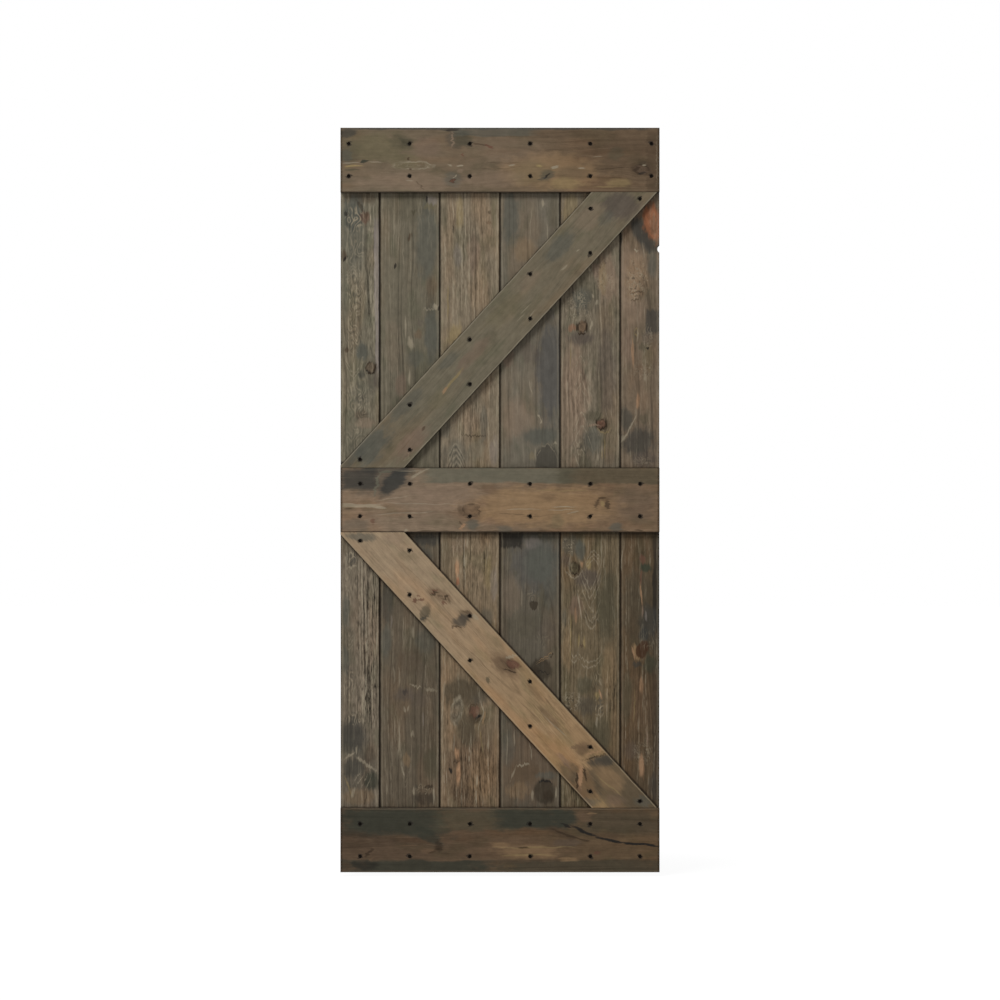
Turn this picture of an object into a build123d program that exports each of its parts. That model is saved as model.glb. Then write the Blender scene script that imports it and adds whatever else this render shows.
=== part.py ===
from build123d import *
import os
from math import asin, atan2, copysign, cos, hypot, sin

# Barn door slab with a K brace, in millimetres.
# Seen from the braced front, +X points right, +Y points through to the back and +Z points up.
# The origin is the middle of the top rail's upper edge, the edge that the hangers carry.

# Door slab
DOOR_WIDTH = 914.4
DOOR_HEIGHT = 2133.6

# Upright planks, joined by tongue and groove with a narrow open seam at the front
PLANK_THICKNESS = 17.5
EDGE_PLANK_WIDTH = 112.2
FULL_PLANKS = 4
SEAM_REVEAL = 3.0
BACK_JOINT = 0.3
TONGUE_LENGTH = 8.0
TONGUE_THICKNESS = 6.0
TONGUE_SIDE_GAP = 0.15
TONGUE_TIP_GAP = 1.0
EASED_EDGE = 1.0

# Rails across the planks, and the two braces between them
RAIL_THICKNESS = 17.5
RAIL_WIDTH = 184.15
BRACE_WIDTH = 139.7
BRACE_SET_LEFT = 6.0
BUTT_GAP = 0.4

# Flat screw heads, sunk a little below the face of the rails and braces, with few sides for lightness
HEAD_DIAMETER = 10.0
HEAD_SIDES = 16
HEAD_THICKNESS = 4.0
HEAD_SINK = 0.6
HEAD_GAP = 0.1
RAIL_SCREW_INSET = 45.5
TOP_RAIL_END_INSET = 23.5
BRACE_OUTER_INSET = 29.5
BRACE_INNER_INSET = 24.0
BRACE_END_MARGIN = 15.0

# Chip broken out of the right plank's outer edge
CHIP_DROP = 347.0
CHIP_HEIGHT = 20.0
CHIP_DEPTH = 5.5

# Faces that the pieces share
half_width = DOOR_WIDTH / 2
plank_front = RAIL_THICKNESS / 2
plank_back = plank_front + PLANK_THICKNESS
seat_plane = Plane.XZ.offset(-plank_front)
face_plane = Plane.XZ.offset(RAIL_THICKNESS / 2)
head_plane = face_plane.offset(-HEAD_SINK)

# Plank seams across the width, and the middle of each plank
plank_cover = (DOOR_WIDTH - 2 * EDGE_PLANK_WIDTH) / FULL_PLANKS
first_seam = EDGE_PLANK_WIDTH - half_width
seams = [first_seam + n * plank_cover for n in range(FULL_PLANKS + 1)]
plank_limits = [-half_width, *seams, half_width]
plank_middles = [(left + right) / 2 for left, right in zip(plank_limits, plank_limits[1:])]

# Heights of the rails' middles, and of the clear fields between them
top_rail_z = -RAIL_WIDTH / 2
middle_rail_z = -DOOR_HEIGHT / 2
bottom_rail_z = RAIL_WIDTH / 2 - DOOR_HEIGHT
upper_field_top = top_rail_z - RAIL_WIDTH / 2 - BUTT_GAP
upper_field_foot = middle_rail_z + RAIL_WIDTH / 2 + BUTT_GAP
lower_field_top = middle_rail_z - RAIL_WIDTH / 2 - BUTT_GAP
lower_field_foot = bottom_rail_z + RAIL_WIDTH / 2 + BUTT_GAP

# A brace would fill its field from corner to corner, so its slope follows from its width.
# It is set a little to the left of that and trimmed at the door's left side.
field_height = upper_field_top - upper_field_foot
brace_slope = atan2(field_height, DOOR_WIDTH) + asin(BRACE_WIDTH / hypot(DOOR_WIDTH, field_height))
brace_end_cut = BRACE_WIDTH / sin(brace_slope)
brace_run = DOOR_WIDTH - brace_end_cut
brace_left = -half_width - BRACE_SET_LEFT
brace_right = half_width - BRACE_SET_LEFT

# Tongue and groove, centred in the plank
tongue_front = (plank_front + plank_back - TONGUE_THICKNESS) / 2
tongue_back = tongue_front + TONGUE_THICKNESS
groove_front = tongue_front - TONGUE_SIDE_GAP
groove_back = tongue_back + TONGUE_SIDE_GAP
groove_depth = TONGUE_LENGTH + TONGUE_TIP_GAP

# Round recess that takes a screw head
recess_radius = HEAD_DIAMETER / 2 + HEAD_GAP
recess_depth = HEAD_SINK + HEAD_THICKNESS

# Radius of the arc that the chip leaves in the edge
chip_radius = (CHIP_HEIGHT**2 / 4 + CHIP_DEPTH**2) / (2 * CHIP_DEPTH)


def tongue_edge(seam):
    """Right edge of a plank, from the front face round its tongue to the back face."""
    front_shoulder = seam - SEAM_REVEAL / 2
    back_shoulder = seam - BACK_JOINT / 2
    tongue_tip = seam + TONGUE_LENGTH
    return [
        (front_shoulder - EASED_EDGE, plank_front),
        (front_shoulder, plank_front + EASED_EDGE),
        (front_shoulder, tongue_front),
        (tongue_tip, tongue_front),
        (tongue_tip, tongue_back),
        (back_shoulder, tongue_back),
        (back_shoulder, plank_back - EASED_EDGE),
        (back_shoulder - EASED_EDGE, plank_back),
    ]


def groove_edge(seam):
    """Left edge of a plank, from the back face round its groove to the front face."""
    front_shoulder = seam + SEAM_REVEAL / 2
    back_shoulder = seam + BACK_JOINT / 2
    groove_floor = seam + groove_depth
    return [
        (back_shoulder + EASED_EDGE, plank_back),
        (back_shoulder, plank_back - EASED_EDGE),
        (back_shoulder, groove_back),
        (groove_floor, groove_back),
        (groove_floor, groove_front),
        (front_shoulder, groove_front),
        (front_shoulder, plank_front + EASED_EDGE),
        (front_shoulder + EASED_EDGE, plank_front),
    ]


def plain_edge(side):
    """Outer edge of the door, from the front face to the back face, with eased corners."""
    edge = side * half_width
    inner = edge - side * EASED_EDGE
    return [
        (inner, plank_front),
        (edge, plank_front + EASED_EDGE),
        (edge, plank_back - EASED_EDGE),
        (inner, plank_back),
    ]


def make_plank(right_edge, left_edge):
    """Full-height plank from its two edge profiles."""
    with BuildPart() as plank:
        with BuildSketch(Plane.XY.offset(-DOOR_HEIGHT)):
            with BuildLine():
                Polyline(*right_edge, *left_edge, close=True)
            make_face()
        extrude(amount=DOOR_HEIGHT)
    return plank


def make_rail(middle_z, screw_spots):
    """Rail across the full width, eased along its face and recessed for its screw heads."""
    with BuildPart(face_plane) as rail:
        with BuildSketch(seat_plane):
            with Locations((0, middle_z)):
                Rectangle(DOOR_WIDTH, RAIL_WIDTH)
        extrude(amount=RAIL_THICKNESS)
        chamfer(rail.faces().sort_by(Axis.Y)[0].edges(), EASED_EDGE)
        with Locations(*screw_spots):
            Hole(recess_radius, depth=recess_depth)
    return rail


def make_brace(left_z, right_z, screw_spots):
    """Brace from the left end of one rail up or down to the right end of another, cut level."""
    trim_z = left_z + (right_z - left_z) * BRACE_SET_LEFT / brace_run
    with BuildPart(face_plane) as brace:
        with BuildSketch(seat_plane):
            with BuildLine():
                Polyline(
                    (-half_width, left_z),
                    (brace_left + brace_end_cut, left_z),
                    (brace_right, right_z),
                    (brace_right - brace_end_cut, right_z),
                    (-half_width, trim_z),
                    close=True,
                )
            make_face()
        extrude(amount=RAIL_THICKNESS)
        chamfer(brace.faces().sort_by(Axis.Y)[0].edges(), EASED_EDGE)
        with Locations(*screw_spots):
            Hole(recess_radius, depth=recess_depth)
    return brace


def make_screws(spots):
    """One row of screw heads, each on the floor of its recess."""
    with BuildPart() as screws:
        with BuildSketch(head_plane):
            with Locations(*spots):
                RegularPolygon(HEAD_DIAMETER / 2, HEAD_SIDES)
        extrude(amount=-HEAD_THICKNESS)
    return screws


def rail_rows(rail_name, middle_z, columns):
    """The two screw rows of a rail, the same distance in from both its long edges."""
    reach = RAIL_WIDTH / 2 - RAIL_SCREW_INSET
    return {
        f"{rail_name}_upper_screws": [(x, middle_z + reach) for x in columns],
        f"{rail_name}_lower_screws": [(x, middle_z - reach) for x in columns],
    }


def brace_rows(brace_name, left_z, right_z):
    """The two screw rows of a brace: one screw a plank, along each long edge, clear of the end cuts."""
    rise = (right_z - left_z) / brace_run
    outer_drop = copysign(BRACE_OUTER_INSET / cos(brace_slope), rise)
    inner_lift = copysign(BRACE_INNER_INSET / cos(brace_slope), rise)
    outer_row = [(x, left_z + rise * (x - brace_left) - outer_drop) for x in plank_middles]
    inner_row = [(x, left_z + rise * (x - brace_left - brace_end_cut) + inner_lift) for x in plank_middles]
    lowest = min(left_z, right_z) + BRACE_END_MARGIN
    highest = max(left_z, right_z) - BRACE_END_MARGIN
    outer_row = [spot for spot in outer_row if lowest < spot[1] < highest]
    inner_row = [spot for spot in inner_row if lowest < spot[1] < highest]
    upper_row, lower_row = (outer_row, inner_row) if rise > 0 else (inner_row, outer_row)
    return {
        f"{brace_name}_upper_screws": upper_row,
        f"{brace_name}_lower_screws": lower_row,
    }


def write(piece, label):
    """Label a finished piece and write it to its own file."""
    piece.part.label = label
    export_step(piece.part, f"parts/{label}.step")


# Screw rows, where the top rail's end screws stand nearer to the door's edges
top_rail_columns = [TOP_RAIL_END_INSET - half_width, *plank_middles[1:-1], half_width - TOP_RAIL_END_INSET]
top_rail_rows = rail_rows("top_rail", top_rail_z, top_rail_columns)
middle_rail_rows = rail_rows("middle_rail", middle_rail_z, plank_middles)
bottom_rail_rows = rail_rows("bottom_rail", bottom_rail_z, plank_middles)
upper_brace_rows = brace_rows("upper_brace", upper_field_foot, upper_field_top)
lower_brace_rows = brace_rows("lower_brace", lower_field_top, lower_field_foot)
all_rows = {**top_rail_rows, **middle_rail_rows, **bottom_rail_rows, **upper_brace_rows, **lower_brace_rows}

# Planks, from the left: plain outer edges, and a tongue in a groove at each seam
planks = []
for left, right in zip(plank_limits, plank_limits[1:]):
    right_edge = tongue_edge(right) if right in seams else plain_edge(1)
    left_edge = groove_edge(left) if left in seams else plain_edge(-1)[::-1]
    planks.append(make_plank(right_edge, left_edge))

# The right plank has lost a chip from its outer edge
with BuildPart() as right_plank:
    add(planks[-1].part)
    with BuildSketch(seat_plane):
        with Locations((half_width - CHIP_DEPTH + chip_radius, -CHIP_DROP)):
            Circle(chip_radius)
    extrude(amount=-PLANK_THICKNESS, mode=Mode.SUBTRACT)

# Rails and braces
top_rail = make_rail(top_rail_z, sum(top_rail_rows.values(), []))
middle_rail = make_rail(middle_rail_z, sum(middle_rail_rows.values(), []))
bottom_rail = make_rail(bottom_rail_z, sum(bottom_rail_rows.values(), []))
upper_brace = make_brace(upper_field_foot, upper_field_top, sum(upper_brace_rows.values(), []))
lower_brace = make_brace(lower_field_top, lower_field_foot, sum(lower_brace_rows.values(), []))

# One file for each piece
os.makedirs("parts", exist_ok=True)
write(planks[0], "left_plank")
for number, plank in enumerate(planks[1:-1], start=2):
    write(plank, f"plank_{number}")
write(right_plank, "right_plank")
write(top_rail, "top_rail")
write(middle_rail, "middle_rail")
write(bottom_rail, "bottom_rail")
write(upper_brace, "upper_brace")
write(lower_brace, "lower_brace")
for label, spots in all_rows.items():
    write(make_screws(spots), label)
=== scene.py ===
"""Looks of the K-braced barn door: stained knotty boards, black screws and a white studio."""
import logging
import math
from dataclasses import dataclass, field
from enum import Enum

import bmesh
import bpy
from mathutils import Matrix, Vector


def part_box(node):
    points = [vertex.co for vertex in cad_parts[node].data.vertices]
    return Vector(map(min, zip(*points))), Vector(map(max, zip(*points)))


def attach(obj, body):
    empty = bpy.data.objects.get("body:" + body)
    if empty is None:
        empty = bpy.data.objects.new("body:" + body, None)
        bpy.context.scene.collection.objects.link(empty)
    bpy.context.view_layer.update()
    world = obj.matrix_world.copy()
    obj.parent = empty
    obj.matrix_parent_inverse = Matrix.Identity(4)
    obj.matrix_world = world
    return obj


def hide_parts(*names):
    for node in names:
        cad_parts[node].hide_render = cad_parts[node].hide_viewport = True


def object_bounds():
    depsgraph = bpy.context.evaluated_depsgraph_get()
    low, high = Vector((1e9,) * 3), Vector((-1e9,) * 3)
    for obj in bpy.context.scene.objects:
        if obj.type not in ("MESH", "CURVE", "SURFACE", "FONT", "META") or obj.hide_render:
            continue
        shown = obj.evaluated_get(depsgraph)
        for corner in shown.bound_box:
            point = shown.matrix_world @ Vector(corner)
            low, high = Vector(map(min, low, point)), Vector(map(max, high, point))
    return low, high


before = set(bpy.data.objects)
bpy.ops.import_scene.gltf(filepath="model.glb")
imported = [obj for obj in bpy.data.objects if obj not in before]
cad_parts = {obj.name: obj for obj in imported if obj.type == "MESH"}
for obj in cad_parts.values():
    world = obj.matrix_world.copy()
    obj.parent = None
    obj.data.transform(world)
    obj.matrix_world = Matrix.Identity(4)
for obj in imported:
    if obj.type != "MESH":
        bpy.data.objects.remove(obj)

LOG = logging.getLogger("barn_door")
CAD_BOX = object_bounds()
MM = 0.001


def paint(red: int, green: int, blue: int) -> tuple[float, float, float, float]:
    """Turn a colour as it looks on a screen, 0 to 255, into the linear colour that shaders take.

    Args:
        red: Red as seen.
        green: Green as seen.
        blue: Blue as seen.

    Returns:
        Linear red, green, blue and an alpha of one.
    """
    def linear(level: int) -> float:
        """Undo the screen's curve for one channel."""
        share = level / 255
        return share / 12.92 if share <= 0.04045 else ((share + 0.055) / 1.055) ** 2.4

    return (linear(red), linear(green), linear(blue), 1.0)


class Tint(Enum):
    """Stains, knots and weathering by their workshop names."""

    SOOT = paint(36, 33, 30)
    PITCH = paint(48, 38, 28)
    INK = paint(58, 57, 53)
    BARK = paint(60, 53, 43)
    BOG = paint(56, 56, 47)
    SHADE = paint(72, 68, 60)
    SLATE = paint(82, 82, 74)
    STEEL = paint(86, 83, 78)
    MOSS = paint(76, 71, 56)
    FERN = paint(54, 58, 46)
    OLIVE = paint(100, 92, 70)
    SAGE = paint(98, 95, 81)
    UMBER = paint(72, 58, 45)
    CHESTNUT = paint(64, 44, 30)
    COCOA = paint(100, 80, 62)
    MAUVE = paint(82, 73, 66)
    ROSE = paint(120, 98, 84)
    CLAY = paint(130, 111, 93)
    RUST = paint(98, 68, 55)
    EMBER = paint(148, 92, 64)
    PEACH = paint(160, 126, 96)
    HONEY = paint(142, 124, 86)
    TAN = paint(140, 114, 84)
    SAND = paint(137, 126, 106)
    BONE = paint(153, 142, 121)
    DUN = paint(82, 72, 57)
    AMBER = paint(142, 92, 64)
    LILAC = paint(126, 117, 110)


class Value:
    """A socket that takes part in Python arithmetic by adding Math nodes to its graph."""

    def __init__(self, graph: "Graph", socket: bpy.types.NodeSocket) -> None:
        """Wrap one output socket of a graph."""
        self.graph = graph
        self.socket = socket

    def __add__(self, other: "Number") -> "Value":
        """Sum."""
        return self.graph.math("ADD", self, other)

    __radd__ = __add__

    def __sub__(self, other: "Number") -> "Value":
        """Difference."""
        return self.graph.math("SUBTRACT", self, other)

    def __rsub__(self, other: "Number") -> "Value":
        """Difference from a number."""
        return self.graph.math("SUBTRACT", other, self)

    def __mul__(self, other: "Number") -> "Value":
        """Product."""
        return self.graph.math("MULTIPLY", self, other)

    __rmul__ = __mul__

    def __truediv__(self, other: "Number") -> "Value":
        """Quotient."""
        return self.graph.math("DIVIDE", self, other)

    def __pow__(self, other: "Number") -> "Value":
        """Power."""
        return self.graph.math("POWER", self, other)

    def __abs__(self) -> "Value":
        """Size without sign."""
        return self.graph.math("ABSOLUTE", self)

    def beside(self, output: str) -> "Value":
        """Another output of the same node."""
        return Value(self.graph, self.socket.node.outputs[output])


Number = Value | float


class Graph:
    """A node tree with one way to add any node, and the few recipes that the finishes share."""

    def __init__(self, tree: bpy.types.NodeTree) -> None:
        """Start from an empty tree."""
        self.tree = tree
        self.tree.nodes.clear()

    def add(self, kind: str, settings: dict | None = None, inputs: dict | None = None,
            output: int | str = 0) -> Value:
        """Add one node.

        Args:
            kind: The node's type, without the ShaderNode that most types start with.
            settings: Properties of the node, set before its sockets.
            inputs: Values or links, by socket name or place.
            output: Which output to hand back.

        Returns:
            The chosen output.
        """
        node = self.tree.nodes.new(kind if kind.startswith("NodeGroup") else "ShaderNode" + kind)
        for name, value in (settings or {}).items():
            setattr(node, name, value)
        for place, value in (inputs or {}).items():
            if isinstance(value, Value):
                self.tree.links.new(value.socket, node.inputs[place])
            else:
                node.inputs[place].default_value = value
        return Value(self, node.outputs[output] if node.outputs else None)

    def math(self, operation: str, *terms: Number) -> Value:
        """Add a Math node for an operation on values and numbers."""
        return self.add("Math", {"operation": operation}, dict(enumerate(terms)))

    def vector(self, operation: str, *terms: Value | tuple, output: int | str = 0) -> Value:
        """Add a Vector Math node for an operation on vectors."""
        return self.add("VectorMath", {"operation": operation}, dict(enumerate(terms)), output)

    def ramp(self, value: Value, low: Number, high: Number, start: Number = 0.0,
             end: Number = 1.0) -> Value:
        """Ease a value from start to end while it runs from low to high.

        Args:
            value: What is eased.
            low: Where the ease begins.
            high: Where it ends; it may lie below low.
            start: Result at low.
            end: Result at high.

        Returns:
            The eased value.
        """
        return self.add("MapRange", {"interpolation_type": "SMOOTHSTEP"}, {
            "Value": value, "From Min": low, "From Max": high, "To Min": start, "To Max": end,
        })

    def mix(self, share: Number, first: Value | tuple, second: Value | tuple, blend: str = "MIX") -> Value:
        """Blend two colours.

        Args:
            share: How much of the second colour.
            first: Colour underneath.
            second: Colour on top.
            blend: Blender's name of the blend.

        Returns:
            The blended colour.
        """
        settings = {"data_type": "RGBA", "blend_type": blend}
        return self.add("Mix", settings, {0: share, 6: first, 7: second}, output=2)

    def noise(self, across: Number, along: Number, through: Number, detail: float = 2.0,
              roughness: float = 0.5) -> Value:
        """Soft random values between nought and one over three coordinates.

        Args:
            across: First coordinate, already scaled.
            along: Second coordinate, already scaled.
            through: Third coordinate or a seed.
            detail: Octaves of finer change.
            roughness: Strength of each finer octave.

        Returns:
            The random value.
        """
        place = self.add("CombineXYZ", None, {0: across, 1: along, 2: through})
        return self.add("TexNoise", {"noise_dimensions": "3D"}, {
            "Vector": place, "Scale": 1.0, "Detail": detail, "Roughness": roughness,
        })


def new_material(name: str) -> tuple[bpy.types.Material, Graph]:
    """Make an empty node material.

    Args:
        name: The material's name.

    Returns:
        The material and its graph.
    """
    material = bpy.data.materials.new(name)
    material.use_nodes = True
    return material, Graph(material.node_tree)


@dataclass(frozen=True)
class Mark:
    """A place on the door's face and its size, in mm from the door's top left corner."""

    x: float
    down: float
    wide: float
    tall: float

    @classmethod
    def each(cls, tint: Tint, *spots: tuple[float, ...]) -> list["Mark"]:
        """Make several marks of one tint.

        Args:
            tint: Their colour.
            spots: The place, the size and any further values of each mark, in the order of its fields.

        Returns:
            The marks, in order.
        """
        return [cls(*spot[:4], tint, *spot[4:]) for spot in spots]


@dataclass(frozen=True)
class Stain(Mark):
    """A soft patch of another colour, turned in degrees."""

    tint: Tint
    strength: float = 0.5
    turn: float = 0.0
    rag: float = 1.1
    soft: float = 0.62


@dataclass(frozen=True)
class Patch(Stain):
    """A stain with straighter sides, such as a band along a board."""

    rag: float = 0.4
    soft: float = 0.4


@dataclass(frozen=True)
class Stroke(Stain):
    """A thin, sharper mark that the fibres break up: a scratch, a crack or a bare streak."""

    strength: float = 0.6
    rag: float = 0.6
    soft: float = 0.6


@dataclass(frozen=True)
class Arch(Mark):
    """Nested growth lines under a peak: their sides fall by the height, or rise where it is negative."""

    tint: Tint
    strength: float = 0.5
    lines: int = 1
    pitch: float = 14.0
    width: float = 4.0
    power: float = 2.0
    turn: float = 0.0


@dataclass(frozen=True)
class Knot(Mark):
    """A knot that turns the grain aside."""

    core: Tint = Tint.COCOA
    rim: Tint = Tint.SOOT
    ring: float = 0.85
    halo: float = 0.3
    push: float = 0.8
    turn: float = 0.0
    fill: float = 0.8
    pit: float = 0.3


@dataclass(frozen=True)
class Curl(Mark):
    """A stretch where the grain runs in scribbled loops."""

    strength: float = 0.55
    turn: float = 0.0


@dataclass(frozen=True)
class Scuff(Curl):
    """A stretch scratched all over in short pale lines."""


@dataclass(frozen=True)
class Comb(Mark):
    """A stretch where the brushed grain shows more."""

    strength: float = 0.6
    turn: float = 0.0


@dataclass(frozen=True)
class Grain:
    """How a board was sawn from its log, in mm, and how strongly its figure shows."""

    seed: float
    heart: float = 0.0
    depth: float = 40.0
    lean: float = 30.0
    sway: float = 30.0
    wander: float = 30.0
    rings: float = 170.0
    line: float = 0.45
    streak: float = 0.9
    fibre: float = 0.65
    mottle: float = 0.6
    late: float = 0.22
    brushed: float = 0.42


@dataclass(frozen=True)
class Wood:
    """Colour of one board, as seen: at its top or left end, and at its other end. On most upright planks
    the foot is darker, partly from the stain and partly as a painted fall of light towards the bottom.
    """

    head: tuple[int, int, int]
    foot: tuple[int, int, int]
    blend: float = 0.1
    pale: tuple[int, int, int] = (150, 140, 120)


class Lay(Enum):
    """Which way a board's grain runs."""

    UPRIGHT = "upright"
    LEVEL = "level"
    SLOPING = "sloping"


@dataclass(frozen=True)
class Edges:
    """How a board's edges are worn, dirtied and painted with light and shade: strengths, and widths in mm.

    The pale stretch along each long edge is partly wear and partly a painted highlight on the eased edge,
    and the arris is painted shade. The seams are the darkness of its left and right edges, pooled stain and
    painted shade, and on the boards behind it lie grime and painted contact shade above it and a painted
    shadow below it.
    """

    wear_and_highlight: float = 0.2
    inset: float = 4.5
    width: float = 3.5
    arris: float = 0.4
    seams: tuple[float, float] = (0.0, 0.0)
    ends: float = 0.0
    grime_and_shade_above: tuple[float, float] = (4.5, 0.6)
    painted_shadow_below: tuple[float, float] = (4.0, 0.5)


@dataclass
class Board:
    """One board of the door: where it lies, how it was sawn, and what its face shows."""

    node: str
    lay: Lay
    wood: Wood
    grain: Grain
    edges: Edges
    marks: list[Mark] = field(default_factory=list)
    crossed_by: list["Board"] = field(default_factory=list)

    def __post_init__(self) -> None:
        """Read the board's direction, the middle of its face and its half width from the frame."""
        low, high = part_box(self.node)
        front = [v.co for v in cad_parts[self.node].data.vertices if v.co.y < low.y + 0.1 * MM]
        self.along = {
            Lay.UPRIGHT: Vector((0, 0, 1)), Lay.LEVEL: Vector((1, 0, 0)), Lay.SLOPING: self._slope(front),
        }[self.lay]
        self.across = Vector((abs(self.along.z), 0, self.along.x * (-1 if self.along.z > 0 else 1)))
        sides = [spot.dot(self.across) for spot in front]
        ends = [spot.dot(self.along) for spot in front]
        self.half = (max(sides) - min(sides)) / 2
        self.reach = (max(ends) - min(ends)) / 2
        self.middle = self.across * (max(sides) + min(sides)) / 2 + self.along * (max(ends) + min(ends)) / 2
        self.middle.y = (low.y + high.y) / 2

    @staticmethod
    def _slope(front: list[Vector]) -> Vector:
        """Direction of a board from the level cuts at its two ends.

        Args:
            front: Corners of its face.

        Returns:
            A unit vector that points to the right.
        """
        top = max(spot.z for spot in front)
        foot = min(spot.z for spot in front)
        head_right = max(spot.x for spot in front if spot.z > top - 0.1 * MM)
        foot_right = max(spot.x for spot in front if spot.z < foot + 0.1 * MM)
        run = Vector((head_right - foot_right, 0, top - foot))
        return (run if run.x >= 0 else -run).normalized()

    def side(self, mark: Mark) -> float:
        """Distance of a mark's middle across the grain, in metres, from the board's middle."""
        return (door_spot(mark) - self.middle).dot(self.across)

    def chosen(self, kind: type[Mark], apart_from: tuple[type[Mark], ...] = ()) -> list[Mark]:
        """The marks of one kind.

        Args:
            kind: The wanted class.
            apart_from: Classes to leave out.

        Returns:
            The marks, in order.
        """
        return [mark for mark in self.marks if isinstance(mark, kind) and not isinstance(mark, apart_from)]


def door_spot(mark: Mark) -> Vector:
    """Turn a mark's place, in mm from the door's top left corner, into the frame's metres."""
    return Vector((CAD_BOX[0][0] + mark.x * MM, 0, CAD_BOX[1][2] - mark.down * MM))


def screw_spots(row: str) -> list[tuple[Vector, float]]:
    """Find the screw heads of one row.

    Args:
        row: Name of the row's node.

    Returns:
        The middle of each head and the depth of its face.
    """
    heads: list[list[Vector]] = []
    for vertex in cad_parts[row].data.vertices:
        near = next((head for head in heads if (head[0] - vertex.co).length < 20 * MM), None)
        if near is None:
            heads.append([vertex.co.copy()])
        else:
            near.append(vertex.co.copy())
    return [(sum(head, Vector()) / len(head), min(spot.y for spot in head)) for head in heads]


class Socket(Enum):
    """What a node group's socket carries."""

    COLOUR = "NodeSocketColor"
    NUMBER = "NodeSocketFloat"
    PLACE = "NodeSocketVector"


class Stencil:
    """A node group that lays one mark over a colour: made once, placed many times."""

    PLACING = {
        "Face": Socket.PLACE, "Side": Socket.PLACE, "Rise": Socket.PLACE, "Middle": Socket.NUMBER,
        "Level": Socket.NUMBER, "Colour": Socket.COLOUR, "Tint": Socket.COLOUR, "Strength": Socket.NUMBER,
        "Rag": Socket.NUMBER,
    }

    def __init__(self, name: str, numbers: list[str]) -> None:
        """Open the group.

        Args:
            name: The group's name.
            numbers: Names of the number sockets that it takes besides those for placing a mark.
        """
        self.tree = bpy.data.node_groups.new(name, "ShaderNodeTree")
        takes = self.PLACING | dict.fromkeys(numbers, Socket.NUMBER)
        gives = {"Colour": Socket.COLOUR, "Cover": Socket.NUMBER}
        for way, sockets in (("INPUT", takes), ("OUTPUT", gives)):
            for label, kind in sockets.items():
                self.tree.interface.new_socket(label, in_out=way, socket_type=kind.value)
        self.graph = Graph(self.tree)
        start = self.graph.add("NodeGroupInput", output="Face")
        self.given = {label: start.beside(label) for label in takes}

    def offsets(self) -> tuple[Value, Value]:
        """How far a point lies from the mark's middle, in the mark's own sizes.

        Returns:
            The distances aside and above.
        """
        g, given = self.graph, self.given
        aside = g.vector("DOT_PRODUCT", given["Face"], given["Side"], output="Value") - given["Middle"]
        above = g.vector("DOT_PRODUCT", given["Face"], given["Rise"], output="Value") - given["Level"]
        return aside, above

    def close(self, share: Value, cover: Number = 0.0) -> None:
        """Finish the group.

        Args:
            share: How much of the tint covers the colour.
            cover: The most that any mark so far covers.
        """
        colour = self.graph.mix(share, self.given["Colour"], self.given["Tint"])
        self.graph.add("NodeGroupOutput", None, {"Colour": colour, "Cover": cover})


class Stencils:
    """The stencils that every board's finish shares."""

    RIM = 1.15
    _made: "Stencils | None" = None

    def __init__(self) -> None:
        """Make the three stencils."""
        self.round = self._spot("round_mark", square=False)
        self.square = self._spot("square_mark", square=True)
        self.arch = self._growth_lines()

    @classmethod
    def all(cls) -> "Stencils":
        """The stencils, made when they are first asked for."""
        cls._made = cls._made or cls()
        return cls._made

    @staticmethod
    def _spot(name: str, square: bool) -> Stencil:
        """A soft patch.

        Args:
            name: The group's name.
            square: Whether its sides are straight.

        Returns:
            The stencil.
        """
        stencil = Stencil(name, ["Near", "Cover"])
        g, given = stencil.graph, stencil.given
        aside, above = stencil.offsets()
        if square:
            reach = g.math("MAXIMUM", abs(aside), abs(above))
        else:
            reach = g.math("SQRT", aside * aside + above * above)
        share = g.ramp(reach + given["Rag"], Stencils.RIM, given["Near"], 0.0, given["Strength"])
        stencil.close(share, g.math("MAXIMUM", given["Cover"], share))
        return stencil

    @staticmethod
    def _growth_lines() -> Stencil:
        """Nested lines under a peak.

        Returns:
            The stencil.
        """
        numbers = ["Fray", "Fall", "Power", "Pitch", "Sense", "Last", "Outer", "Inner"]
        stencil = Stencil("growth_lines", numbers)
        g, given = stencil.graph, stencil.given
        aside, above = stencil.offsets()
        aside = abs(aside)
        count = (above + aside ** given["Power"] * given["Fall"]) * given["Sense"] + given["Rag"] * 0.5
        off_line = abs(g.math("FRACT", count + 0.5) - 0.5) * given["Pitch"] + given["Fray"] * 2.5
        line = g.ramp(off_line, given["Outer"], given["Inner"], 0.0, given["Strength"])
        nested = g.ramp(count, -0.5, -0.35) * g.ramp(count, given["Last"], given["Last"] - 0.15)
        stencil.close(line * nested * g.ramp(aside + given["Rag"], 1.05, 0.65))
        return stencil


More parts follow.
